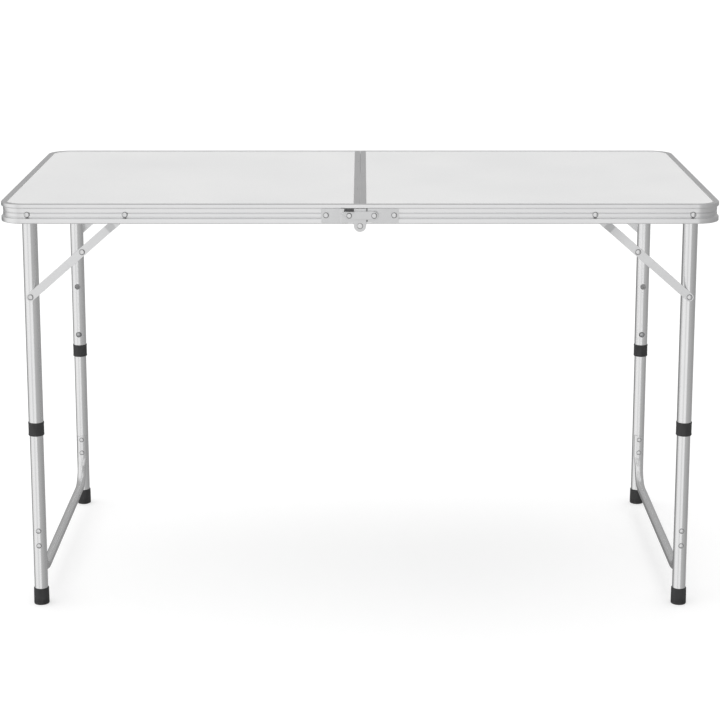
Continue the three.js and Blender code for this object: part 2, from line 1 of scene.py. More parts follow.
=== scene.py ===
"""Looks for the folding picnic table: fine geometry, procedural materials, floor, lights and camera.

Shapes are worked out in millimetres, +Z up, and become metres in make_mesh. Pieces that come four times
are drawn for the right rear corner and mirrored to the others.
"""
import math

import bmesh
import bpy
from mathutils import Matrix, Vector


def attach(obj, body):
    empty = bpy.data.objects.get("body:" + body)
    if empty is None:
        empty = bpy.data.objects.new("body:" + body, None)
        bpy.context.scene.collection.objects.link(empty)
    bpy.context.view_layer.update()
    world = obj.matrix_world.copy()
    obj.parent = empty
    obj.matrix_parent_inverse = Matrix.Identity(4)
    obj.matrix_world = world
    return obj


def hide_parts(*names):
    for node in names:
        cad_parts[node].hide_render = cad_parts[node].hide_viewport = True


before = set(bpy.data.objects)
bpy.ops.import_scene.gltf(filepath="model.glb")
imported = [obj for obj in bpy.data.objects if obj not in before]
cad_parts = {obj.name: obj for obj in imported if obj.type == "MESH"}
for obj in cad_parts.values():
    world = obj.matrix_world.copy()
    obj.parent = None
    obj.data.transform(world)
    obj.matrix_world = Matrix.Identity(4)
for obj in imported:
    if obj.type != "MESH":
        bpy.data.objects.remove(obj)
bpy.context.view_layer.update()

MM = 0.001
SIDES = (("left", -1), ("right", 1))
ROWS = (("front", -1), ("rear", 1))
ROUND = 64
RIVET_ROUND = 36

# ---------- driving dimensions, mm
HALF_LENGTH = 600.0
HALF_WIDTH = 300.0
TOP_Z = 706.0
GAP = 0.3
CORNER_RADIUS = 41.0
CORNER_X = HALF_LENGTH - CORNER_RADIUS
CORNER_Y = HALF_WIDTH - CORNER_RADIUS
FRAME_BOTTOM = 673.5
LIP_WIDTH = 10.0
LIP_THICKNESS = 1.4
WALL_INSET = 3.0
WALL_THICKNESS = 1.5
TOP_BEAD_Z = 700.3
LOW_BEAD_Z = 680.6
GROOVES = ((691.0, 1.4), (683.9, 1.0))  # height and depth of each
LEDGE_INSET = 12.0
LEDGE_TOP = 701.9
PANEL_TOP = 705.2
PANEL_BOTTOM = 702.2
RAIL_LIP = 10.2
RAIL_WALL = 2.2
RAIL_FLANGE = 8.0
RAIL_LEDGE = 14.0
RAIL_WALL_HALF_WIDTH = 241.0

LEG_X = 551.7
LEG_Y = 271.4
PIVOT_Z = 688.5
UPPER_RADIUS = 12.5
UPPER_BORE = 11.7
UPPER_BOTTOM = 306.3
UPPER_TOP = 693.0
LOWER_RADIUS = 11.5
LOWER_BORE = 10.5
LOWER_BOTTOM = 3.3
LOWER_TOP = 385.0
BUTTON_HOLES = (347.5, 443.5)
BUTTON_HOLE_RADIUS = 5.6
BUTTON_RADIUS = 4.2
SPRING_REACH = 9.4
SPRING_SHEET = 0.9
COLLAR_RADIUS = 13.5
COLLAR_BOTTOM = 302.6
COLLAR_TOP = 326.0
FOOT_RADIUS = 13.25
FOOT_HEIGHT = 29.0
CROSS_TUBE_RADIUS = 9.5
STRETCHER_RADIUS = 8.0
STRETCHER_Z = 48.0
STRETCHER_TOP = 141.0
STRETCHER_BEND = 44.0
STRETCHER_RIVETS = (107.5, 134.0)
STRETCHER_FLATTENED = (80.0, 103.0)
FLAT_THICKNESS = 3.2
FLAT_HALF_WIDTH = 9.2

BRACE_LEG = Vector((551.7, 546.0))
BRACE_ELBOW = Vector((463.2, 623.75))
BRACE_FRAME = Vector((389.5, 688.5))
LINK_HALF_WIDTH = 7.0
LINK_THICKNESS = 2.0
LINK_TAIL = 25.0
LOWER_LINK_Y = 284.3
UPPER_LINK_Y = 286.7
UPPER_LINK_WALL_Y = 292.0
LINK_JOG = (26.0, 41.0)
RIVET_RADIUS = 5.0
RIVET_HEIGHT = 2.7
LOW_RIVET_HEIGHT = 2.3
RIVET_SHOULDER = 0.42  # share of the head's radius
RIVET_CROWN = 0.09  # share of the radius inside the shoulder
RIM_SLOPE = 0.93  # a rim's faces have less than this share of their normal along Y; they get painted shade
SHANK_RADIUS = 3.0
THIN_SHANK_RADIUS = 2.5

HINGE_PIVOT_Z = 670.7
HINGE_LUG = 10.0
HINGE_ROOT = 20.0
HINGE_BOTTOM = 675.5
HINGE_TOP = 699.8
NOTCH_START = -25.5
NOTCH_BOTTOM = 694.9
RELIEF = 1.2
HINGE_END = 64.0
HINGE_SPLIT = 10.75
HINGE_SHEET = 1.5
HINGE_INNER_Y = 300.3
HINGE_OUTER_Y = 302.1
HINGE_RIVET_X = 56.4
SLIT_WIDTH = 1.6
SLIT_BOTTOM = 695.5
LOW_SLIT_TOP = 681.5
WALL_FACE = HALF_WIDTH - WALL_INSET + 0.1
LEVER_Y = 303.9
LEVER_THICKNESS = 2.5
LEVER_FACE = LEVER_Y + LEVER_THICKNESS
LEVER_PIVOT_X = 23.4
LEVER_HALF_HEIGHT = 6.8
LEVER_TIP = 13.9
FLANGE_START = -7.5
KEEPER_X = -17.9
KEEPER_SLOT = 3.5

HANDLE_X = -300.0
HANDLE_Y = 307.0
HANDLE_PIVOT_Z = 691.0
HANDLE_DROP = 27.0
HANDLE_ARM = 46.0
BRACKET_SPAN = 57.0
CLASP_OFFSET = 130.0
CLASP_LENGTH = 35.6
CLASP_HALF_HEIGHT = 7.0
SHANK_INNER_Y = HALF_WIDTH - WALL_INSET - WALL_THICKNESS - 0.5

# ---------- camera, in metres and radians
CAMERA_PLACE = (0.00318, -3.5732, 1.2896)
CAMERA_PITCH = 0.1964
CAMERA_LENS = 100.6  # mm
CAMERA_SHIFT = (-0.0027, -0.16)


# ---------- shape helpers: a shape is (points, faces)

def arc(middle_a, middle_b, radius, start, end, steps):
    """Points of an arc in a plane, with angles in degrees."""
    points = []
    for i in range(steps + 1):
        turn = math.radians(start + (end - start) * i / steps)
        points.append((middle_a + radius * math.cos(turn), middle_b + radius * math.sin(turn)))
    return points


def smooth(value, low, high):
    """0 below low, 1 above high, and an S curve between them."""
    t = min(max((value - low) / (high - low), 0.0), 1.0)
    return t * t * (3 - 2 * t)


def turned(profile, middle, axis, sides=ROUND):
    """A profile of (radius, distance) turned about an axis through middle."""
    points, faces, rings = [], [], []
    for radius, distance in profile:
        ring = []
        for i in range(1 if radius < 1e-6 else sides):
            turn = 2 * math.pi * i / sides
            a, b = radius * math.cos(turn), radius * math.sin(turn)
            place = {"X": (distance, a, b), "Y": (a, distance, b), "Z": (a, b, distance)}[axis]
            ring.append(len(points))
            points.append(Vector(place) + Vector(middle))
        rings.append(ring)
    for low, high in zip(rings, rings[1:]):
        for i in range(sides):
            j = (i + 1) % sides
            corners = (low[i % len(low)], low[j % len(low)], high[j % len(high)], high[i % len(high)])
            faces.append(tuple(dict.fromkeys(corners)))
    return points, [face for face in faces if len(face) > 2]


def rod(radius, start, end, middle, axis="Y", sides=RIVET_ROUND):
    """A plain round bar between two distances along an axis through middle."""
    return turned([(0, start), (radius, start), (radius, end), (0, end)], middle, axis, sides)


def pipe(radius, bore, low, high, middle, axis):
    """A tube with a small chamfer on both ends."""
    edge = 0.25
    profile = [
        (bore, low), (radius - edge, low), (radius, low + edge), (radius, high - edge),
        (radius - edge, high), (bore, high), (bore, low),
    ]
    return closed_turn(profile, middle, axis)


def closed_turn(profile, middle, axis, sides=ROUND):
    """Like turned, for a profile that ends where it starts."""
    points, faces = turned(profile[:-1], middle, axis, sides)
    count = len(profile) - 2
    for i in range(sides):
        j = (i + 1) % sides
        faces.append((count * sides + i, count * sides + j, j, i))
    return points, faces


def dome(middle, radius=RIVET_RADIUS, height=RIVET_HEIGHT, out=1, rim=0.35):
    """A rivet head along Y, towards out (1 or -1): a short rim, a round shoulder and a low crown."""
    shoulder = radius * RIVET_SHOULDER
    flat = radius - shoulder
    crown = flat * RIVET_CROWN
    rise = height - rim - crown
    profile = [(0.0, 0.0), (radius - 0.15, 0.0), (radius, out * rim * 0.4), (radius, out * rim)]
    for i in range(1, 10):
        turn = math.radians(10 * i - 2)
        profile.append((radius - shoulder * (1 - math.cos(turn)), out * (rim + rise * math.sin(turn))))
    for i in (0.75, 0.5, 0.25):
        profile.append((flat * i, out * (height - crown * i * i)))
    profile.append((0.0, out * height))
    return turned(profile, middle, "Y", RIVET_ROUND)


def extruded(outline, low, high, plane):
    """A solid between two levels of an outline in the plane XY, XZ or YZ."""
    def lift(a, b, level):
        return {"XY": (a, b, level), "XZ": (a, level, b), "YZ": (level, a, b)}[plane]
    count = len(outline)
    points = [lift(a, b, low) for a, b in outline] + [lift(a, b, high) for a, b in outline]
    faces = [tuple(range(count)), tuple(range(2 * count - 1, count - 1, -1))]
    for i in range(count):
        j = (i + 1) % count
        faces.append((i, j, count + j, count + i))
    return points, faces


def block(low, high):
    """A box between two corners."""
    outline = [(low[0], low[1]), (high[0], low[1]), (high[0], high[1]), (low[0], high[1])]
    return extruded(outline, low[2], high[2], "XY")


def skinned(rings):
    """A skin over rings of the same number of points, capped at both ends."""
    count = len(rings[0])
    points = [point for ring in rings for point in ring]
    faces = [tuple(range(count)), tuple(range(len(points) - 1, len(points) - count - 1, -1))]
    for r in range(len(rings) - 1):
        for i in range(count):
            j = (i + 1) % count
            faces.append((r * count + i, r * count + j, (r + 1) * count + j, (r + 1) * count + i))
    return points, faces


def skin_uvs(rings):
    """Texture coordinates in metres for skinned: along the rings and around them."""
    count = len(rings[0])
    along = [0.0]
    for before, after in zip(rings, rings[1:]):
        along.append(along[-1] + (Vector(after[0]) - Vector(before[0])).length * MM)
    around = [0.0]
    for i in range(count):
        step = Vector(rings[0][(i + 1) % count]) - Vector(rings[0][i])
        around.append(around[-1] + step.length * MM)
    uvs = [[(0.0, around[i]) for i in range(count)], [(along[-1], around[i]) for i in range(count)]]
    for r in range(len(rings) - 1):
        for i in range(count):
            low, high, start, end = around[i], around[i + 1], along[r], along[r + 1]
            uvs.append([(start, low), (start, high), (end, high), (end, low)])
    return uvs


def merged(*shapes):
    """Several shapes as one."""
    points, faces = [], []
    for more_points, more_faces in shapes:
        start = len(points)
        points += [Vector(point) for point in more_points]
        faces += [tuple(start + i for i in face) for face in more_faces]
    return points, faces


def flipped(shape, sign_x, sign_y):
    """A copy of a shape on the other side of the middle planes."""
    points, faces = shape
    return [Vector((p[0] * sign_x, p[1] * sign_y, p[2])) for p in points], faces


# ---------- materials

def map_range(tree, value, numbers):
    """A node that maps a value; numbers are the range it comes from and the range it goes to."""
    node = tree.nodes.new("ShaderNodeMapRange")
    for socket, number in zip(("From Min", "From Max", "To Min", "To Max"), numbers):
        node.inputs[socket].default_value = number
    tree.links.new(value, node.inputs["Value"])
    return node


class Finish:
    """A material and short ways to wire its nodes."""

    def __init__(self, name, metallic):
        self.material = bpy.data.materials.new(name)
        self.material.use_nodes = True
        self.nodes = self.material.node_tree.nodes
        self.links = self.material.node_tree.links
        self.shader = self.nodes["Principled BSDF"]
        self.shader.inputs["Metallic"].default_value = metallic

    def noise(self, scale, stretch=(1.0, 1.0, 1.0), detail=4.0, source="Object"):
        coords = self.nodes.new("ShaderNodeTexCoord")
        mapping = self.nodes.new("ShaderNodeMapping")
        mapping.inputs["Scale"].default_value = stretch
        texture = self.nodes.new("ShaderNodeTexNoise")
        texture.inputs["Scale"].default_value = scale
        texture.inputs["Detail"].default_value = detail
        self.links.new(coords.outputs[source], mapping.inputs["Vector"])
        self.links.new(mapping.outputs["Vector"], texture.inputs["Vector"])
        return texture.outputs["Fac"]

    def ranged(self, value, low, high):
        """A noise value spread over low to high."""
        return map_range(self.material.node_tree, value, (0.3, 0.7, low, high)).outputs["Result"]

    def blended(self, first, second, share):
        """first and second mixed, with share of the second."""
        mix = self.nodes.new("ShaderNodeMix")
        mix.inputs["Factor"].default_value = share
        self.links.new(first, mix.inputs["A"])
        self.links.new(second, mix.inputs["B"])
        return mix.outputs["Result"]

    def color(self, value, dark, light):
        ramp = self.nodes.new("ShaderNodeValToRGB")
        ramp.color_ramp.elements[0].position = 0.35
        ramp.color_ramp.elements[0].color = (*dark, 1.0)
        ramp.color_ramp.elements[1].position = 0.65
        ramp.color_ramp.elements[1].color = (*light, 1.0)
        self.links.new(value, ramp.inputs["Fac"])
        self.links.new(ramp.outputs["Color"], self.shader.inputs["Base Color"])

    def roughness(self, value, low, high):
        self.links.new(self.ranged(value, low, high), self.shader.inputs["Roughness"])

    def bump(self, height, strength, depth):
        """Fine relief, with its depth in millimetres."""
        bump = self.nodes.new("ShaderNodeBump")
        bump.inputs["Strength"].default_value = strength
        bump.inputs["Distance"].default_value = depth * MM
        self.links.new(height, bump.inputs["Height"])
        self.links.new(bump.outputs["Normal"], self.shader.inputs["Normal"])


def drawn_metal(name, dark, light, rough, stretch, source="Object", relief=0.04):
    """Bright metal with fine lines along one direction, faint cloudiness and uneven gloss."""
    finish = Finish(name, 1.0)
    lines = finish.noise(1.0, stretch, 3.0, source)
    clouds = finish.noise(9.0, detail=5.0)
    finish.color(finish.blended(lines, clouds, 0.5), dark, light)
    finish.roughness(finish.blended(lines, clouds, 0.3), *rough)
    finish.bump(lines, 0.5, relief)
    return finish.material


def pressed_metal(name, dark, light, rough, grain, relief=0.05, metallic=1.0):
    """Satin metal with a fine even grain and a few larger clouds."""
    finish = Finish(name, metallic)
    grains = finish.noise(grain, detail=3.0)
    clouds = finish.noise(35.0, detail=5.0)
    finish.color(finish.blended(grains, clouds, 0.45), dark, light)
    finish.roughness(clouds, *rough)
    finish.bump(grains, 0.4, relief)
    return finish.material


def moulded(name, dark, light, rough, grain):
    """Moulded black plastic or rubber with a fine texture and slight scuffs."""
    finish = Finish(name, 0.0)
    scuffs = finish.noise(120.0, (1.0, 1.0, 0.3), 5.0)
    grains = finish.noise(grain, detail=2.0)
    finish.color(scuffs, dark, light)
    finish.roughness(scuffs, *rough)
    finish.bump(grains, 0.6, 0.12)
    return finish.material


def glowing_bore():
    """The inside of a leg tube; a trace of light of its own makes an empty hole dark grey and not black."""
    dark, light = (0.88, 0.88, 0.885), (0.95, 0.95, 0.95)
    material = pressed_metal("bore with painted glow", dark, light, (0.5, 0.65), 600.0, metallic=0.0)
    shader = material.node_tree.nodes["Principled BSDF"]
    # painted light: the bore glows a little so that an empty hole shows dark grey
    shader.inputs["Emission Color"].default_value = (1.0, 1.0, 1.0, 1.0)
    shader.inputs["Emission Strength"].default_value = 0.033
    return material


def laminate_finish():
    """Melamine laminate: pale grey with a fine pebbled skin and barely visible flecks."""
    finish = Finish("laminate", 0.0)
    flecks = finish.noise(420.0, detail=2.0)
    clouds = finish.noise(5.0, detail=6.0)
    pebbles = finish.noise(1100.0, detail=2.0)
    finish.color(finish.blended(flecks, clouds, 0.4), (0.745, 0.747, 0.75), (0.79, 0.789, 0.785))
    finish.roughness(clouds, 0.4, 0.5)
    finish.bump(pebbles, 0.35, 0.06)
    return finish.material


ALONG_X = (6.0, 1500.0, 1.0)
ALONG_Z = (1400.0, 1400.0, 5.0)
ALONG_Y = (1400.0, 5.0, 1400.0)
PALE, BRIGHT = (0.83, 0.832, 0.838), (0.90, 0.90, 0.902)

FRAME_METAL = drawn_metal("frame aluminium", PALE, BRIGHT, (0.26, 0.36), ALONG_X, "UV")
RAIL_METAL = drawn_metal("rail aluminium", PALE, BRIGHT, (0.26, 0.36), ALONG_Y)
LEG_METAL = drawn_metal("leg aluminium", PALE, BRIGHT, (0.16, 0.24), ALONG_Z)
CROSS_METAL = drawn_metal("cross tube aluminium", PALE, BRIGHT, (0.16, 0.24), ALONG_Y)
BENT_METAL = drawn_metal("stretcher aluminium", PALE, BRIGHT, (0.2, 0.3), ALONG_X, "UV", 0.01)
SHEET_METAL = pressed_metal("zinc plated steel", (0.745, 0.75, 0.755), (0.83, 0.83, 0.835), (0.36, 0.48),
                            900.0)
GLOWING_BORE_METAL = glowing_bore()
RIVET_METAL = pressed_metal("rivet aluminium", (0.71, 0.712, 0.72), (0.79, 0.79, 0.79), (0.12, 0.2), 1500.0,
                            0.02)
# painted shade: the rims of rivet heads get this darker colour in place of the shade and dark reflections on
# them
SHADED_RIM_METAL = pressed_metal("rivet rim with painted shade", (0.42, 0.422, 0.43), (0.5, 0.5, 0.5), (0.2, 0.3), 1500.0, 0.02)
BRACE_METAL = pressed_metal("brace steel", (0.81, 0.815, 0.82), (0.89, 0.89, 0.895), (0.34, 0.44), 900.0)
# painted shade: a dark colour for sheets set where only shade falls
PAINTED_SHADE_METAL = pressed_metal("steel with painted shade", (0.2, 0.2, 0.205), (0.27, 0.27, 0.272), (0.5, 0.6), 900.0)
SPRING_METAL = pressed_metal("spring steel", (0.45, 0.455, 0.465), (0.6, 0.605, 0.61), (0.25, 0.38), 1200.0)
LAMINATE = laminate_finish()
COLLAR_PLASTIC = moulded("moulded black plastic", (0.021, 0.021, 0.022), (0.036, 0.036, 0.037),
                         (0.42, 0.55), 2600.0)
FOOT_RUBBER = moulded("black rubber", (0.02, 0.02, 0.021), (0.034, 0.034, 0.035), (0.5, 0.65), 1900.0)


# ---------- making pieces

def new_mesh(name, shape, uvs=None):
    points, faces = shape
    mesh = bpy.data.meshes.new(name)
    mesh.from_pydata([Vector(point) * MM for point in points], [], faces)
    if uvs:
        layer = mesh.uv_layers.new(name="along")
        for polygon, corners in zip(mesh.polygons, uvs):
            for loop, corner in zip(polygon.loop_indices, corners):
                layer.data[loop].uv = corner
    return mesh


def shade(mesh, sharp):
    """Faces outwards and smooth, with edges sharper than an angle in degrees kept crisp."""
    work = bmesh.new()
    work.from_mesh(mesh)
    bmesh.ops.recalc_face_normals(work, faces=work.faces)
    for face in work.faces:
        face.smooth = True
    for edge in work.edges:
        if len(edge.link_faces) == 2:
            edge.smooth = edge.calc_face_angle() < math.radians(sharp)
    work.to_mesh(mesh)
    work.free()


def add_object(name, data):
    thing = bpy.data.objects.new(name, data)
    bpy.context.scene.collection.objects.link(thing)
    return thing


def cut_by(mesh, holes):
    """The mesh with shapes cut out of it."""
    piece = add_object("blank", mesh)
    for hole in holes:
        tool_mesh = new_mesh("tool", hole)
        shade(tool_mesh, 30)
        tool = add_object("tool", tool_mesh)
        modifier = piece.modifiers.new("hole", "BOOLEAN")
        modifier.object = tool
        modifier.operation = "DIFFERENCE"
        modifier.solver = "EXACT"
        bpy.context.view_layer.update()
        graph = bpy.context.evaluated_depsgraph_get()
        result = bpy.data.meshes.new_from_object(piece.evaluated_get(graph))
        piece.modifiers.clear()
        piece.data = result
        bpy.data.objects.remove(tool)
    result = piece.data
    bpy.data.objects.remove(piece)
    return result


def give_glowing_inside(mesh, sx, sy, bore):
    """Gives the faces inside a leg tube the second material, which glows faintly as painted light."""
    for face in mesh.polygons:
        from_axis = Vector((face.center.x - sx * LEG_X * MM, face.center.y - sy * LEG_Y * MM)).length
        if from_axis < (bore + 0.1) * MM:
            face.material_index = 1


def paint_shade_on_rims(mesh):
    """Gives the sloping edges of rivet heads, which all face along Y, the second material, whose darker
    colour is painted shade.
    """
    for face in mesh.polygons:
        # painted shade: the steep faces of a rivet head take the darker rim colour
        if abs(face.normal.y) < RIM_SLOPE:
            face.material_index = 1


def make_mesh(name, shape, material, body, nodes=(), sharp=35.0, uvs=None, holes=(), round_edges=0.0):
    """One visible piece: it rides on a body, stands for CAD nodes and takes the finish it is given."""
    mesh = new_mesh(name, shape, uvs)
    shade(mesh, sharp)
    if holes:
        mesh = cut_by(mesh, holes)
        shade(mesh, sharp)
    mesh.name = name
    mesh.materials.clear()
    mesh.materials.append(material)
    piece = add_object(name, mesh)
    if round_edges:
        modifier = piece.modifiers.new("rounded edges", "BEVEL")
        modifier.width = round_edges * MM
        modifier.segments = 3
        modifier.limit_method = "ANGLE"
        modifier.angle_limit = math.radians(40)
        modifier.harden_normals = True
    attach(piece, body)
    if nodes:
        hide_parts(*nodes)
    return piece


def make_rivets(name, body, shapes, sx, sy, nodes=()):
    """Rivets on one body as one piece, with painted shade on their rims."""
    piece = make_mesh(name, flipped(merged(*shapes), sx, sy), RIVET_METAL, body, nodes)
    piece.data.materials.append(SHADED_RIM_METAL)
    paint_shade_on_rims(piece.data)


# ---------- table halves

def frame_section():
    """The edge frame's section as (inset from its outer face, height): beads, grooves, lip and ledge."""
    inner_wall = 5.4
    bead_inner = 5.5
    edge = 0.9
    bead = 1.6
    section = [(LIP_WIDTH - 0.35, TOP_Z)]
    section += arc(edge, TOP_Z - edge, edge, 90, 180, 5)
    section += arc(1.0, TOP_BEAD_Z, 1.0, 180, 265, 5)
    section += [(WALL_INSET + 0.5, TOP_BEAD_Z - 1.7), (WALL_INSET + 0.5, TOP_BEAD_Z - 1.9)]
    section += [(WALL_INSET, TOP_BEAD_Z - 2.8)]
    for z, depth in GROOVES:
        section += [(WALL_INSET, z + 1.2), (WALL_INSET + depth, z + 0.1)]
        section += [(WALL_INSET + depth, z - 0.1), (WALL_INSET, z - 1.2)]
    section += arc(bead, LOW_BEAD_Z, bead, 100, 180, 6)
    section += arc(edge, FRAME_BOTTOM + 1.1, edge, 180, 250, 5)
    section += [(1.3, FRAME_BOTTOM), (bead_inner - 0.4, FRAME_BOTTOM), (bead_inner, FRAME_BOTTOM + 0.4)]
    section += [(bead_inner, LOW_BEAD_Z - 1.5), (inner_wall, LOW_BEAD_Z - 0.5)]
    section += [(inner_wall, LEDGE_TOP - WALL_THICKNESS), (LEDGE_INSET, LEDGE_TOP - WALL_THICKNESS)]
    section += [(LEDGE_INSET, LEDGE_TOP), (inner_wall, LEDGE_TOP), (inner_wall, TOP_Z - LIP_THICKNESS)]
    section += [(LIP_WIDTH, TOP_Z - LIP_THICKNESS), (LIP_WIDTH, TOP_Z - 0.35)]
    return section


def frame_stations():
    """Points on the frame's outer face and the inward direction there, from the front round to the rear."""
    stations = [((x, -HALF_WIDTH), (0.0, 1.0)) for x in (GAP / 2, 90.0, 280.0, 470.0)]
    for middle_y, start in ((-CORNER_Y, -90), (CORNER_Y, 0)):
        for i in range(25):
            turn = math.radians(start + 90 * i / 24)
            out = (math.cos(turn), math.sin(turn))
            place = (CORNER_X + CORNER_RADIUS * out[0], middle_y + CORNER_RADIUS * out[1])
            stations.append((place, (-out[0], -out[1])))
        if start < 0:
            stations += [((HALF_LENGTH, y), (-1.0, 0.0)) for y in (-120.0, 0.0, 120.0)]
    stations += [((x, HALF_WIDTH), (0.0, -1.0)) for x in (470.0, 280.0, 90.0, GAP / 2)]
    return stations


def make_edge_frame(side, sign):
    section = frame_section()
    rings = []
    for (x, y), (in_x, in_y) in frame_stations():
        rings.append([Vector(((x + inset * in_x) * sign, y + inset * in_y, z)) for inset, z in section])
    make_mesh(f"{side}_edge_frame_look", skinned(rings), FRAME_METAL, f"{side}_half",
              [f"{side}_edge_frame"], 38.0, skin_uvs(rings))


def panel_outline(inset, start_x):
    outline = [(start_x, -HALF_WIDTH + inset)]
    outline += arc(CORNER_X, -CORNER_Y, CORNER_RADIUS - inset, -90, 0, 24)
    outline += arc(CORNER_X, CORNER_Y, CORNER_RADIUS - inset, 0, 90, 24)
    outline.append((start_x, HALF_WIDTH - inset))
    return outline


def make_top_panel(side, sign):
    raised = extruded(panel_outline(LIP_WIDTH + GAP, RAIL_LIP + GAP), PANEL_BOTTOM, PANEL_TOP, "XY")
    tongue = extruded(panel_outline(5.1, RAIL_WALL + GAP), PANEL_BOTTOM + 0.02, PANEL_TOP - 0.9, "XY")
    make_mesh(f"{side}_top_panel_look", flipped(merged(raised, tongue), sign, 1), LAMINATE, f"{side}_half",
              [f"{side}_top_panel"], round_edges=0.3)


def make_centre_rail(side, sign):
    """A lip over the panel's edge, a wall under it that stops short of the legs, a flange and a ledge."""
    start = GAP / 2
    reach = HALF_WIDTH - LIP_WIDTH - GAP
    low_lip = TOP_Z - LIP_THICKNESS
    head = [(start, TOP_Z - 0.3), (start + 0.3, TOP_Z)] + arc(RAIL_LIP - 0.5, TOP_Z - 0.5, 0.5, 90, 0, 3)
    head += [(RAIL_LIP, low_lip), (RAIL_WALL, low_lip)]
    head += [(RAIL_WALL, PANEL_BOTTOM + GAP), (start, PANEL_BOTTOM + GAP)]
    wall = [
        (start, low_lip), (RAIL_WALL, low_lip), (RAIL_WALL, LEDGE_TOP), (RAIL_LEDGE, LEDGE_TOP),
        (RAIL_LEDGE, LEDGE_TOP - WALL_THICKNESS), (RAIL_WALL, LEDGE_TOP - WALL_THICKNESS),
        (RAIL_WALL, FRAME_BOTTOM + WALL_THICKNESS), (RAIL_FLANGE, FRAME_BOTTOM + WALL_THICKNESS),
        (RAIL_FLANGE, FRAME_BOTTOM), (start, FRAME_BOTTOM),
    ]
    shape = merged(extruded(head, -reach, reach, "XZ"),
                   extruded(wall, -RAIL_WALL_HALF_WIDTH, RAIL_WALL_HALF_WIDTH, "XZ"))
    make_mesh(f"{side}_centre_rail_look", flipped(shape, sign, 1), RAIL_METAL, f"{side}_half",
              [f"{side}_centre_rail"], round_edges=0.2)


# ---------- legs

def make_leg_tube(name, body, sx, sy, radius, bore, ends, hole_heights):
    """A tube whose inside glows faintly as painted light, with button holes that face the middle of the
    table.
    """
    shape = flipped(pipe(radius, bore, *ends, (LEG_X, LEG_Y, 0), "Z"), sx, sy)
    holes = []
    for z in hole_heights:
        hole = rod(BUTTON_HOLE_RADIUS, LEG_Y - 20, LEG_Y, (LEG_X, 0, z), sides=40)
        holes.append(flipped(hole, sx, sy))
    leg = make_mesh(f"{name}_look", shape, LEG_METAL, body, [name], holes=holes)
    leg.data.materials.append(GLOWING_BORE_METAL)
    # painted light: the faces inside the tube get the faintly glowing material
    give_glowing_inside(leg.data, sx, sy, bore)


def make_collar(name, body, sx, sy):
    """A sleeve with a rounded rim at both ends and a shallow waist."""
    top, low, out = COLLAR_TOP, COLLAR_BOTTOM, COLLAR_RADIUS
    guide, sleeve = LOWER_RADIUS + 0.4, UPPER_RADIUS + GAP
    profile = [(guide, low), (out - 0.9, low), (out - 0.35, low + 0.25), (out, low + 0.9), (out, low + 2.6)]
    profile += [(out - 0.25, low + 3.4), (out - 0.25, top - 3.4), (out, top - 2.6), (out, top - 0.8)]
    profile += [(out - 0.25, top - 0.2), (out - 0.5, top), (sleeve, top), (sleeve, UPPER_BOTTOM - GAP)]
    profile += [(guide, UPPER_BOTTOM - GAP), (guide, low)]
    shape = flipped(closed_turn(profile, (LEG_X, LEG_Y, 0), "Z"), sx, sy)
    make_mesh(f"{name}_leg_collar_look", shape, COLLAR_PLASTIC, body, [f"{name}_leg_collar"])


def make_foot(name, body, sx, sy):
    """A rubber cap, a little wider at the floor, with a rounded sole and three grip lines."""
    out, bore = FOOT_RADIUS, LOWER_RADIUS + GAP
    profile = [(0, 0.6), (out - 3.4, 0.6), (out - 3.0, 0.0), (out - 1.5, 0.0), (out - 0.5, 0.4), (out, 1.5)]
    for z in (4.2, 6.4, 8.6):
        profile += [(out - 0.05, z - 0.5), (out - 0.4, z - 0.2), (out - 0.4, z + 0.2), (out - 0.05, z + 0.5)]
    profile += [(out - 0.3, FOOT_HEIGHT - 1.2), (out - 0.6, FOOT_HEIGHT - 0.3), (out - 0.95, FOOT_HEIGHT)]
    profile += [(bore, FOOT_HEIGHT), (bore, LOWER_BOTTOM - GAP), (0, LOWER_BOTTOM - GAP)]
    shape = flipped(turned(profile, (LEG_X, LEG_Y, 0), "Z"), sx, sy)
    make_mesh(f"{name}_foot_cap_look", shape, FOOT_RUBBER, body, [f"{name}_foot_cap"])


def spring_arm(direction, end):
    """An arm of the spring strip: along the tube's wall, then sloping in to the points of its end."""
    top, knee = BUTTON_HOLES[0] + 5, BUTTON_HOLES[0] - 6
    inner = SPRING_REACH - SPRING_SHEET
    outline = [(-SPRING_REACH, top), (-SPRING_REACH, knee), *end, (-inner, knee), (-inner, top)]
    return extruded([(LEG_Y + direction * y, z) for y, z in outline], LEG_X - 3, LEG_X + 3, "YZ")


def make_snap_button(name, body, tube_body, sx, sy):
    """A domed button on a V of spring strip inside the tube, whose far arm stays against the tube."""
    base, rim = LEG_Y - 9.2, LEG_Y - UPPER_RADIUS - 0.4
    profile = [(0, base), (BUTTON_RADIUS, base), (BUTTON_RADIUS, rim)]
    for i in range(1, 7):
        turn = math.radians(15 * i)
        profile.append((BUTTON_RADIUS * math.cos(turn), rim - 2.2 * math.sin(turn)))
    button = turned(profile, (LEG_X, 0, BUTTON_HOLES[0]), "Y", 40)
    short, bottom = BUTTON_HOLES[0] - 30, BUTTON_HOLES[0] - 44
    near = spring_arm(1, [(-5.0, short), (-4.0, short)])
    far = spring_arm(-1, [(-1.6, bottom), (-0.3, bottom), (-0.3, bottom + 1.2), (-1.0, bottom + 1.2)])
    make_mesh(f"{name}_snap_button_look", flipped(merged(button, near), sx, sy), SPRING_METAL, body,
              [f"{name}_snap_button"])
    make_mesh(f"{name}_spring_arm", flipped(far, sx, sy), SPRING_METAL, tube_body)


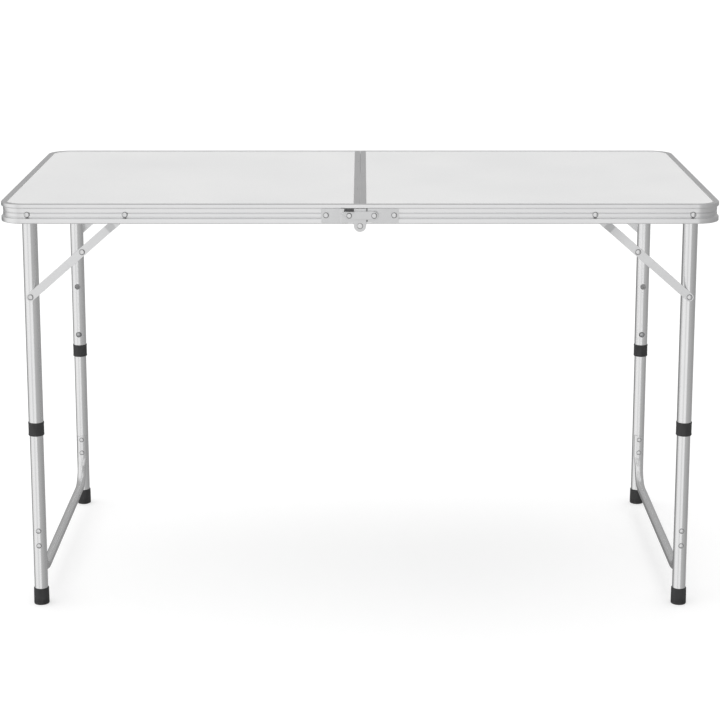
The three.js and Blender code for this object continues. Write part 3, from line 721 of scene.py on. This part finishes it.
def make_cross_tube(side, sign):
    """The tube a leg set turns on, notched round the two leg tubes."""
    end = LEG_Y - 4
    shape = flipped(pipe(CROSS_TUBE_RADIUS, 8.0, -end, end, (LEG_X, 0, PIVOT_Z), "Y"), sign, 1)
    holes = []
    for y in (-LEG_Y, LEG_Y):
        notch = rod(UPPER_RADIUS + 0.1, PIVOT_Z - 30, PIVOT_Z + 30, (LEG_X, y, 0), "Z", ROUND)
        holes.append(flipped(notch, sign, 1))
    make_mesh(f"{side}_leg_cross_tube_look", shape, CROSS_METAL, f"{side}_upper_legs",
              [f"{side}_leg_cross_tube"], holes=holes)


def stretcher_ring(y, z, turn, flat):
    """The stretcher's section at a point of its path; flat 1 is pressed round the leg tube."""
    row = 1 if y > 0 else -1
    ring = []
    for i in range(40):
        angle = 2 * math.pi * i / 40
        across, out = math.cos(angle), math.sin(angle)
        round_point = Vector((LEG_X + STRETCHER_RADIUS * across,
                              y + STRETCHER_RADIUS * out * math.cos(turn) * row,
                              z - STRETCHER_RADIUS * out * math.sin(turn)))
        wide = FLAT_HALF_WIDTH * across
        leg_face = LEG_Y - math.sqrt((LOWER_RADIUS + GAP) ** 2 - wide ** 2)
        depth = FLAT_THICKNESS * (0.5 - 0.5 * max(min(out * 1.6, 1.0), -1.0))
        end_slope = 0.18 * across * STRETCHER_RADIUS if z > STRETCHER_TOP - 1 else 0.0
        flat_point = Vector((LEG_X + wide, row * (leg_face - depth), z - end_slope))
        ring.append(round_point.lerp(flat_point, flat))
    return ring


def stretcher_rings():
    """Sections from one end of the stretcher to the other: down a leg, round the bend and across."""
    side_y = LEG_Y - LOWER_RADIUS - GAP - STRETCHER_RADIUS
    bend_z = STRETCHER_Z + STRETCHER_BEND
    half = []
    straight = [STRETCHER_TOP, STRETCHER_TOP - 1.2, 130.0, 120.0, 110.0]
    straight += [bend_z + 1.2 * i for i in range(11, -1, -1)]
    for z in straight:
        half.append((side_y, z, 0.0, smooth(z, *STRETCHER_FLATTENED)))
    for i in range(1, 33):
        turn = math.radians(90 * i / 32)
        z = bend_z - STRETCHER_BEND * math.sin(turn)
        y = side_y - STRETCHER_BEND * (1 - math.cos(turn))
        half.append((y, z, turn, smooth(z, *STRETCHER_FLATTENED)))
    half.append((120.0, STRETCHER_Z, math.pi / 2, 0.0))
    rings = [stretcher_ring(*station) for station in half]
    middle = [[Vector((p.x, 0.0, p.z)) for p in rings[-1]]]
    other = [[Vector((p.x, -p.y, p.z)) for p in ring] for ring in reversed(rings)]
    return rings + middle + other


def make_stretcher(side, sign):
    rings = [[Vector((p.x * sign, p.y, p.z)) for p in ring] for ring in stretcher_rings()]
    make_mesh(f"{side}_stretcher_look", skinned(rings), BENT_METAL, f"{side}_lower_legs",
              [f"{side}_stretcher"], 50.0, skin_uvs(rings))
    heads = []
    radius = RIVET_RADIUS - 0.3
    outer = LEG_Y + LOWER_RADIUS - 0.8
    inner = LEG_Y - LOWER_RADIUS - GAP - FLAT_THICKNESS + 0.4
    for z in STRETCHER_RIVETS:
        for row in (-1, 1):
            heads.append(dome((LEG_X * sign, row * outer, z), radius, 3.1, row, 1.0))
            heads.append(dome((LEG_X * sign, row * inner, z), radius, 2.8, -row, 0.8))
    make_rivets(f"{side}_stretcher_rivets", f"{side}_lower_legs", heads, 1, 1)


def make_leg_pivot(name, side, sx, sy):
    """A shouldered rivet from the frame wall through the leg tube."""
    face = HALF_WIDTH - WALL_INSET
    wall_in = face - WALL_THICKNESS
    leg_out, leg_in = LEG_Y + UPPER_RADIUS + 0.1, LEG_Y - UPPER_RADIUS - 0.1
    thin, thick = SHANK_RADIUS, 7.0
    profile = [(0, leg_in), (thin, leg_in), (thin, leg_out), (thick, leg_out), (thick, wall_in - 0.1)]
    profile += [(thin, wall_in - 0.1), (thin, face), (0, face)]
    shank = turned(profile, (LEG_X, 0, PIVOT_Z), "Y", RIVET_ROUND)
    shapes = [shank, dome((LEG_X, face, PIVOT_Z)), dome((LEG_X, leg_in, PIVOT_Z), out=-1)]
    make_rivets(f"{name}_leg_pivot_rivet_look", f"{side}_half", shapes, sx, sy, [f"{name}_leg_pivot_rivet"])


# ---------- folding braces

def link_half_width(s, length, square_end):
    """Half the width of a brace link at a distance from its first rivet: round ends, or a square tail."""
    if s < 0:
        return math.sqrt(max(LINK_HALF_WIDTH ** 2 - s ** 2, 0.05))
    if s > length and not square_end:
        return math.sqrt(max(LINK_HALF_WIDTH ** 2 - (s - length) ** 2, 0.05))
    if s > length + 6.0:
        return LINK_HALF_WIDTH - (0.3 if s < length + 6.8 else 0.8)
    return LINK_HALF_WIDTH


def link_bar(start, end, length, offset, square_end):
    """A flat bar from start towards end in X and Z; offset gives its inner face's Y at each distance."""
    along = (end - start).normalized()
    across = Vector((-along.y, along.x))
    distances = [-LINK_HALF_WIDTH * math.cos(math.radians(a)) for a in range(2, 90, 11)]
    distances.append(0.0)
    for bend in LINK_JOG:
        distances += [bend - 0.5, bend + 0.5]
    distances += [length * 0.6, length - LINK_HALF_WIDTH]
    if square_end:
        distances += [length + 5.6, length + 6.6, length + 7.0]
    else:
        distances += [length + LINK_HALF_WIDTH * math.sin(math.radians(a)) for a in range(0, 90, 11)]
    rings = []
    for s in distances:
        half = link_half_width(s, length, square_end)
        ring = []
        for edge, level in ((-1, 0.0), (1, 0.0), (1, LINK_THICKNESS), (-1, LINK_THICKNESS)):
            place = start + along * s + across * (half * edge)
            ring.append(Vector((place.x, offset(s) + level, place.y)))
        rings.append(ring)
    return skinned(rings)


def make_lower_brace(name, side, sx, sy):
    """The inner bar, riveted to the leg."""
    length = (BRACE_ELBOW - BRACE_LEG).length
    bar = link_bar(BRACE_LEG, BRACE_ELBOW, length, lambda s: LOWER_LINK_Y, False)
    outer = LOWER_LINK_Y + LINK_THICKNESS
    make_mesh(f"{name}_lower_brace_link_look", flipped(bar, sx, sy), BRACE_METAL, f"{side}_lower_braces",
              [f"{name}_lower_brace_link"], round_edges=0.45)
    shank = rod(THIN_SHANK_RADIUS, LEG_Y + 10, outer, (BRACE_LEG.x, 0, BRACE_LEG.y))
    head = dome((BRACE_LEG.x, outer, BRACE_LEG.y))
    make_rivets(f"{name}_brace_leg_rivet", f"{side}_lower_braces", [shank, head], sx, sy)


def make_upper_brace(name, side, sx, sy):
    """The outer bar: it steps out to the frame wall, and its square tail laps over the lower bar."""
    length = (BRACE_ELBOW - BRACE_FRAME).length

    def offset(s):
        share = min(max((s - LINK_JOG[0]) / (LINK_JOG[1] - LINK_JOG[0]), 0.0), 1.0)
        return UPPER_LINK_WALL_Y + (UPPER_LINK_Y - UPPER_LINK_WALL_Y) * share
    bar = link_bar(BRACE_FRAME, BRACE_ELBOW, length + LINK_TAIL, offset, True)
    make_mesh(f"{name}_upper_brace_link_look", flipped(bar, sx, sy), BRACE_METAL, f"{side}_upper_braces",
              [f"{name}_upper_brace_link"], round_edges=0.45)
    face = UPPER_LINK_Y + LINK_THICKNESS
    wall = HALF_WIDTH - WALL_INSET
    shank = rod(THIN_SHANK_RADIUS, UPPER_LINK_WALL_Y + 1, wall, (BRACE_FRAME.x, 0, BRACE_FRAME.y))
    shapes = [shank, dome((BRACE_ELBOW.x, face, BRACE_ELBOW.y)), dome((BRACE_FRAME.x, wall, BRACE_FRAME.y))]
    make_rivets(f"{name}_brace_elbow_rivets", f"{side}_upper_braces", shapes, sx, sy)


# ---------- centre hinges, drawn for the rear edge

def lug_edge():
    """The lower edge of a hinge plate round its lug, from right to left, with a relief on each side."""
    relief = HINGE_BOTTOM + RELIEF
    points = [(HINGE_ROOT, HINGE_BOTTOM), (HINGE_ROOT - 0.6, relief), (HINGE_LUG + 1.0, relief)]
    points += arc(0, HINGE_PIVOT_Z, HINGE_LUG, 0, -180, 28)
    points += [(-HINGE_LUG - 1.0, relief), (0.6 - HINGE_ROOT, relief), (-HINGE_ROOT, HINGE_BOTTOM)]
    return points


def stepped_sheet(outline, low_y, high_y, start_x, end_x):
    """A sheet in X and Z that steps from low_y to high_y between two X positions."""
    work = bmesh.new()
    points, faces = extruded(outline, 0.0, HINGE_SHEET, "XZ")
    corners = [work.verts.new(point) for point in points]
    for face in faces:
        work.faces.new([corners[i] for i in face])
    for i in range(9):
        x = start_x + (end_x - start_x) * i / 8
        geometry = work.verts[:] + work.edges[:] + work.faces[:]
        bmesh.ops.bisect_plane(work, geom=geometry, plane_co=(x, 0, 0), plane_no=(1, 0, 0))
    for corner in work.verts:
        corner.co.y += low_y + (high_y - low_y) * smooth(corner.co.x, start_x, end_x)
    work.verts.index_update()
    points = [corner.co.copy() for corner in work.verts]
    faces = [tuple(corner.index for corner in face.verts) for face in work.faces]
    work.free()
    return points, faces


def plate_spacer(sign):
    """The strip between a hinge plate's outer end and the frame wall."""
    start, end = sorted((sign * 46.0, sign * (HINGE_END - 0.6)))
    return block((start, WALL_FACE, 681.8), (end, HINGE_INNER_Y - 0.05, 698.2))


def make_left_plate(row, sy):
    """The front plate of a hinge: it steps out over the other plate, with a notch in its top edge."""
    outline = [(-HINGE_END, HINGE_TOP), (NOTCH_START, HINGE_TOP), (NOTCH_START - 1.0, NOTCH_BOTTOM)]
    outline += [(HINGE_SPLIT, NOTCH_BOTTOM), (HINGE_SPLIT, HINGE_BOTTOM + RELIEF)]
    outline += lug_edge()[3:]
    outline.append((-HINGE_END, HINGE_BOTTOM))
    sheet = stepped_sheet(outline, HINGE_INNER_Y, HINGE_OUTER_Y, -34.0, -29.0)
    make_mesh(f"{row}_hinge_left_plate_look", flipped(merged(sheet, plate_spacer(-1)), 1, sy), SHEET_METAL,
              "left_half", [f"{row}_hinge_left_plate"], round_edges=0.3)
    rivet = dome((-HINGE_RIVET_X, HINGE_INNER_Y + HINGE_SHEET, PIVOT_Z))
    make_rivets(f"{row}_hinge_left_rivet", "left_half", [rivet], 1, sy)


def make_right_plate(row, sy):
    """The back plate of a hinge: behind the left plate it is a little lower, and slits part the two."""
    slit, tongue, tongue_top = HINGE_SPLIT + SLIT_WIDTH, HINGE_SPLIT - 0.4, HINGE_TOP - 0.5
    outline = [(HINGE_END, HINGE_BOTTOM), (HINGE_END, HINGE_TOP), (slit, HINGE_TOP), (slit, SLIT_BOTTOM)]
    outline += [(tongue, SLIT_BOTTOM), (tongue, tongue_top), (-HINGE_LUG, tongue_top)]
    outline += reversed(lug_edge()[:-3])
    sheet = extruded(outline, HINGE_INNER_Y, HINGE_INNER_Y + HINGE_SHEET, "XZ")
    slot = block((HINGE_SPLIT - 0.2, HINGE_INNER_Y - 1, HINGE_BOTTOM + 0.6),
                 (slit, HINGE_OUTER_Y + 1, LOW_SLIT_TOP))
    make_mesh(f"{row}_hinge_right_plate_look", flipped(sheet, 1, sy), SHEET_METAL, "right_half",
              [f"{row}_hinge_right_plate"], holes=[flipped(slot, 1, sy)], round_edges=0.3)
    make_mesh(f"{row}_hinge_right_spacer", flipped(plate_spacer(1), 1, sy), SHEET_METAL, "right_half",
              round_edges=0.3)
    face = HINGE_INNER_Y + HINGE_SHEET
    thin, thick = SHANK_RADIUS, 4.5
    profile = [(0, face), (thick, face), (thick, LEVER_Y - 0.2), (thin, LEVER_Y - 0.2), (thin, LEVER_FACE)]
    profile.append((0, LEVER_FACE))
    boss = turned(profile, (LEVER_PIVOT_X, 0, PIVOT_Z), "Y", RIVET_ROUND)
    heads = [dome((HINGE_RIVET_X, face, PIVOT_Z)),
             dome((LEVER_PIVOT_X, LEVER_FACE, PIVOT_Z), height=LOW_RIVET_HEIGHT)]
    make_rivets(f"{row}_hinge_right_rivets", "right_half", [boss, *heads], 1, sy)


def make_hinge_shade_sheets(row, sy):
    """Dark sheets that paint shade behind the notch of the left plate and behind the two slits beside it."""
    top = HINGE_TOP - 0.8
    # painted shade: a dark sheet behind the notch of the left plate
    notch = block((NOTCH_START - 1.5, WALL_FACE, NOTCH_BOTTOM - 1.5), (1.0 - HINGE_LUG, WALL_FACE + 1.6, top))
    make_mesh(f"{row}_hinge_left_backing", flipped(notch, 1, sy), PAINTED_SHADE_METAL, "left_half")
    start, end = HINGE_SPLIT - 0.1, HINGE_SPLIT + SLIT_WIDTH - 0.1
    # painted shade: dark sheets behind the two slits
    upper = block((start, WALL_FACE, NOTCH_BOTTOM), (end, HINGE_INNER_Y + 0.4, top))
    lower = block((start, HINGE_INNER_Y + 0.1, HINGE_BOTTOM + RELIEF + 0.1),
                  (end, HINGE_INNER_Y + 0.7, LOW_SLIT_TOP - 0.1))
    make_mesh(f"{row}_hinge_right_backing", flipped(merged(upper, lower), 1, sy), PAINTED_SHADE_METAL, "right_half")


def make_hinge_pins(row, sy):
    """The rivet that the hinge turns on, and the pin that holds the latch."""
    face = HINGE_OUTER_Y + HINGE_SHEET
    shank = rod(SHANK_RADIUS, HINGE_INNER_Y, face, (0, 0, HINGE_PIVOT_Z))
    head = dome((0, face, HINGE_PIVOT_Z), height=1.7)
    make_rivets(f"{row}_hinge_pivot_rivet_look", "left_half", [shank, head], 1, sy,
                [f"{row}_hinge_pivot_rivet"])
    pin = rod(SHANK_RADIUS, face, LEVER_FACE, (KEEPER_X, 0, PIVOT_Z))
    head = dome((KEEPER_X, LEVER_FACE, PIVOT_Z), RIVET_RADIUS - 0.3, LOW_RIVET_HEIGHT)
    make_rivets(f"{row}_latch_keeper_pin_look", "left_half", [pin, head], 1, sy, [f"{row}_latch_keeper_pin"])


def make_latch_lever(row, sy):
    """A blade hooked over the keeper pin, with a finger tab and a stiffening flange along its top edge."""
    top, bottom = PIVOT_Z + LEVER_HALF_HEIGHT, PIVOT_Z - LEVER_HALF_HEIGHT
    hook = PIVOT_Z - 1
    slot_left, slot_right = KEEPER_X - KEEPER_SLOT, KEEPER_X + KEEPER_SLOT
    tip = KEEPER_X - LEVER_TIP
    outline = [(slot_right, bottom)]
    outline += arc(LEVER_PIVOT_X, PIVOT_Z, LEVER_HALF_HEIGHT, -90, 90, 20)
    outline += [(FLANGE_START, top), (tip + 7.5, top), (tip + 2.0, top - 2.2), (tip, top - 4.2)]
    outline += [(slot_left - 3, hook), (slot_left, hook)]
    outline += arc(KEEPER_X, PIVOT_Z, KEEPER_SLOT, 180, 0, 12)
    blade = extruded(outline, LEVER_Y, LEVER_FACE, "XZ")
    tab = block((tip + 7.5, LEVER_Y + 0.3, top - HINGE_SHEET), (FLANGE_START - 2.0, LEVER_Y + 6.4, top))
    flange = block((FLANGE_START, LEVER_Y - 1.8, top - 1.2), (LEVER_PIVOT_X, LEVER_Y + 0.4, top))
    make_mesh(f"{row}_latch_lever_look", flipped(merged(blade, tab, flange), 1, sy), SHEET_METAL, "latches",
              [f"{row}_latch_lever"], round_edges=0.3)


# ---------- carry handle and clasps

def handle_path():
    """The handle's middle line and radius as (distance from its middle, height, radius), pin to pin."""
    low = HANDLE_PIVOT_Z - HANDLE_DROP
    corner, bend, pin, arm = 9.0, 2.5, 2.5, 3.6
    grip_reach = HANDLE_ARM - corner
    path = [(-HANDLE_ARM - 14.0, HANDLE_PIVOT_Z, pin - 0.1), (-HANDLE_ARM - bend, HANDLE_PIVOT_Z, pin)]
    path += [(a, b, arm) for a, b in arc(-HANDLE_ARM - bend, HANDLE_PIVOT_Z - bend, bend, 90, 0, 5)]
    path.append((-HANDLE_ARM, HANDLE_PIVOT_Z - 10.0, arm))
    path += [(a, b, arm + 0.2) for a, b in arc(-grip_reach, low + corner, corner, 180, 270, 8)]
    # the other arm's corner leaves out its last two points, where the grip begins
    other_arm = [(-a, b, radius) for a, b, radius in reversed(path[:-2])]
    for i in range(1, 24):
        swell = math.cos(4 * 2 * math.pi * i / 24)
        path.append((grip_reach * (i / 12 - 1), low, 4.3 + 0.45 * swell))
    return path + other_arm


def make_handle():
    """A moulded bail: pins, arms with round corners and a grip with finger swells."""
    path = handle_path()
    rings = []
    for i, (a, b, radius) in enumerate(path):
        before, after = path[max(i - 1, 0)], path[min(i + 1, len(path) - 1)]
        along = Vector((after[0] - before[0], after[1] - before[1])).normalized()
        ring = []
        for k in range(24):
            turn = 2 * math.pi * k / 24
            lift = Vector((-along.y, along.x)) * (radius * math.sin(turn))
            y = HANDLE_Y + radius * 0.92 * math.cos(turn)
            ring.append(Vector((HANDLE_X + a + lift.x, y, b + lift.y)))
        rings.append(ring)
    make_mesh("carry_handle_look", skinned(rings), COLLAR_PLASTIC, "carry_handle",
              ["carry_handle"], 60.0)


def make_handle_bracket(name, x):
    """An ear on the frame wall, rounded round the handle's pin."""
    wall = HALF_WIDTH - WALL_INSET + GAP
    ear = [(wall, HANDLE_PIVOT_Z - 5.5), (HANDLE_Y, HANDLE_PIVOT_Z - 5)]
    ear += arc(HANDLE_Y, HANDLE_PIVOT_Z, 5.0, -75, 75, 12)
    ear += [(HANDLE_Y, HANDLE_PIVOT_Z + 5), (wall, HANDLE_PIVOT_Z + 5.5)]
    bore = rod(2.75, -9, 9, (x, HANDLE_Y, HANDLE_PIVOT_Z), "X", 32)
    make_mesh(f"{name}_handle_bracket_look", extruded(ear, x - 6, x + 6, "YZ"), COLLAR_PLASTIC, "left_half",
              [f"{name}_handle_bracket"], holes=[bore], round_edges=0.8)


def make_clasp(name, x):
    """A hook on a rivet whose open slot reaches the stud on the other half when the case is shut."""
    face = HALF_WIDTH + GAP
    slot_x = x + CLASP_LENGTH
    tip = slot_x + 9
    slot = 3.6
    outline = [(tip, PIVOT_Z - CLASP_HALF_HEIGHT), (tip, PIVOT_Z + 1), (slot_x + slot, PIVOT_Z + 1)]
    outline += arc(slot_x, PIVOT_Z, slot, 0, -180, 12)
    outline += [(slot_x - slot - 0.5, PIVOT_Z + CLASP_HALF_HEIGHT)]
    outline += arc(x, PIVOT_Z, CLASP_HALF_HEIGHT, 90, 270, 16)
    blade = extruded(outline, face, face + HINGE_SHEET, "XZ")
    tab = block((tip - HINGE_SHEET, face, PIVOT_Z - CLASP_HALF_HEIGHT), (tip, face + 6, PIVOT_Z + 1))
    make_mesh(f"{name}_clasp_lever_look", merged(blade, tab), SHEET_METAL, f"{name}_clasp",
              [f"{name}_clasp_lever"], round_edges=0.3)
    outer = face + HINGE_SHEET
    shank = rod(THIN_SHANK_RADIUS, SHANK_INNER_Y, outer, (x, 0, PIVOT_Z))
    make_rivets(f"{name}_clasp_rivet", f"{name}_clasp", [shank, dome((x, outer, PIVOT_Z))], 1, 1)


def make_catch_stud(name, x):
    """The rivet that a clasp's hook drops over when the case is shut."""
    outer = HALF_WIDTH + GAP + HINGE_SHEET + GAP
    shank = rod(SHANK_RADIUS, SHANK_INNER_Y, outer, (x, 0, PIVOT_Z))
    head = dome((x, outer, PIVOT_Z), RIVET_RADIUS - 0.4)
    make_rivets(f"{name}_catch_stud_look", "right_half", [shank, head], 1, 1, [f"{name}_catch_stud"])


def make_table():
    for side, sx in SIDES:
        upper, lower = f"{side}_upper_legs", f"{side}_lower_legs"
        make_edge_frame(side, sx)
        make_top_panel(side, sx)
        make_centre_rail(side, sx)
        make_cross_tube(side, sx)
        make_stretcher(side, sx)
        for row, sy in ROWS:
            name = f"{side}_{row}"
            make_leg_tube(f"{name}_upper_leg", upper, sx, sy, UPPER_RADIUS, UPPER_BORE,
                          (UPPER_BOTTOM, UPPER_TOP), BUTTON_HOLES)
            make_collar(name, upper, sx, sy)
            make_leg_tube(f"{name}_lower_leg", lower, sx, sy, LOWER_RADIUS, LOWER_BORE,
                          (LOWER_BOTTOM, LOWER_TOP), BUTTON_HOLES[:1])
            make_foot(name, lower, sx, sy)
            make_snap_button(name, f"{name}_button", lower, sx, sy)
            make_leg_pivot(name, side, sx, sy)
            make_lower_brace(name, side, sx, sy)
            make_upper_brace(name, side, sx, sy)
    for row, sy in ROWS:
        make_left_plate(row, sy)
        make_right_plate(row, sy)
        make_hinge_shade_sheets(row, sy)
        make_hinge_pins(row, sy)
        make_latch_lever(row, sy)
    make_handle()
    make_handle_bracket("outer", HANDLE_X - BRACKET_SPAN)
    make_handle_bracket("inner", HANDLE_X + BRACKET_SPAN)
    for name, offset in (("outer", -CLASP_OFFSET), ("inner", CLASP_OFFSET)):
        make_clasp(name, HANDLE_X + offset)
        make_catch_stud(name, -HANDLE_X - offset)


# ---------- floor, lights and camera

def make_floor():
    """A wide pale floor that gives off a little light and isn't seen in reflections."""
    mesh = bpy.data.meshes.new("floor")
    reach = 30.0
    mesh.from_pydata([(-reach, -reach, 0), (reach, -reach, 0), (reach, reach, 0), (-reach, reach, 0)], [],
                     [(0, 1, 2, 3)])
    material = bpy.data.materials.new("floor")
    material.use_nodes = True
    shader = material.node_tree.nodes["Principled BSDF"]
    shader.inputs["Base Color"].default_value = (0.55, 0.55, 0.55, 1.0)
    shader.inputs["Roughness"].default_value = 0.9
    shader.inputs["Specular IOR Level"].default_value = 0.0
    shader.inputs["Emission Color"].default_value = (1.0, 1.0, 1.0, 1.0)
    shader.inputs["Emission Strength"].default_value = 0.5
    mesh.materials.append(material)
    floor = add_object("floor", mesh)
    floor.visible_glossy = False


class Sky:
    """The world's shader and short ways to wire its nodes."""

    def __init__(self):
        world = bpy.data.worlds.new("studio")
        world.use_nodes = True
        bpy.context.scene.world = world
        self.tree = world.node_tree
        self.nodes = self.tree.nodes
        self.links = self.tree.links

    def feed(self, socket, value):
        """Gives a socket a number or another node's output."""
        if isinstance(value, float):
            socket.default_value = value
        else:
            self.links.new(value, socket)

    def math(self, operation, first, second):
        node = self.nodes.new("ShaderNodeMath")
        node.operation = operation
        self.feed(node.inputs[0], first)
        self.feed(node.inputs[1], second)
        return node.outputs["Value"]

    def step(self, value, low, high, start=0.0, end=1.0):
        """A smooth change from start to end while value goes from low to high."""
        node = map_range(self.tree, value, (low, high, start, end))
        node.interpolation_type = "SMOOTHSTEP"
        return node.outputs["Result"]

    def between(self, value, rise, top, edge, fall):
        """1 from top to edge, and 0 below rise and above fall."""
        return self.math("MULTIPLY", self.step(value, rise, top), self.step(value, edge, fall, 1.0, 0.0))

    def mix(self, share, first, second):
        node = self.nodes.new("ShaderNodeMix")
        self.links.new(share, node.inputs["Factor"])
        self.feed(node.inputs["A"], first)
        self.feed(node.inputs["B"], second)
        return node.outputs["Result"]


def make_world():
    """A white backdrop for the camera; the object sees a studio with a bright left side and darker walls.

    A direction is an azimuth in degrees, 0 at the front and positive to the right, and a height from -1 to 1.
    """
    sky = Sky()
    coords = sky.nodes.new("ShaderNodeTexCoord")
    split = sky.nodes.new("ShaderNodeSeparateXYZ")
    sky.links.new(coords.outputs["Generated"], split.inputs["Vector"])
    towards_front = sky.math("MULTIPLY", split.outputs["Y"], -1.0)
    radians = sky.math("ARCTAN2", split.outputs["X"], towards_front)
    azimuth = sky.math("MULTIPLY", radians, 180 / math.pi)
    height = split.outputs["Z"]

    right = sky.step(azimuth, 20.0, 110.0, 0.50, 0.36)
    right_and_back = sky.mix(sky.step(azimuth, 135.0, 175.0), right, 0.26)
    left = sky.step(azimuth, -60.0, -30.0, 1.0, 0.0)
    low = sky.mix(left, right_and_back, 0.24)
    back = sky.math("MAXIMUM", sky.step(azimuth, 60.0, 120.0), left)
    dark_walls = sky.mix(sky.step(height, -0.04, 0.06), low, sky.mix(back, right, 0.43))
    left_side = sky.between(azimuth, -138.0, -78.0, 14.0, 18.0)
    stripe = sky.between(azimuth, -44.0, -34.0, -22.0, -14.0)
    upper = sky.step(stripe, 0.0, 1.0, 0.94, 0.78)
    bright = sky.mix(sky.step(height, -0.55, -0.42), 0.4, upper)
    walls = sky.mix(left_side, dark_walls, bright)
    radiance = sky.mix(sky.step(height, 0.8, 0.97), walls, 0.82)

    path = sky.nodes.new("ShaderNodeLightPath")
    shown = sky.mix(path.outputs["Is Camera Ray"], radiance, 1.0)
    background = sky.nodes["Background"]
    sky.links.new(shown, background.inputs["Color"])


def make_light():
    """A soft light from above that isn't seen in reflections."""
    data = bpy.data.lights.new("overhead", "SUN")
    data.energy = 1.5
    data.angle = math.radians(80)
    lamp = add_object("overhead", data)
    lamp.location = (0.0, 0.0, 3.0)
    lamp.rotation_euler = (math.radians(-12), math.radians(-8), 0)
    lamp.visible_glossy = False


def make_camera():
    data = bpy.data.cameras.new("camera")
    data.lens = CAMERA_LENS
    data.sensor_width = 36.0
    data.shift_x, data.shift_y = CAMERA_SHIFT
    data.clip_start, data.clip_end = 0.05, 100.0
    camera = add_object("camera", data)
    camera.location = CAMERA_PLACE
    camera.rotation_euler = (math.pi / 2 - CAMERA_PITCH, 0.0, 0.0)
    bpy.context.scene.camera = camera


def set_colors():
    view = bpy.context.scene.view_settings
    view.view_transform = "Standard"
    view.look = "None"
    view.exposure = 0.0
    view.gamma = 1.0


make_table()
make_floor()
make_world()
make_light()
make_camera()
set_colors()
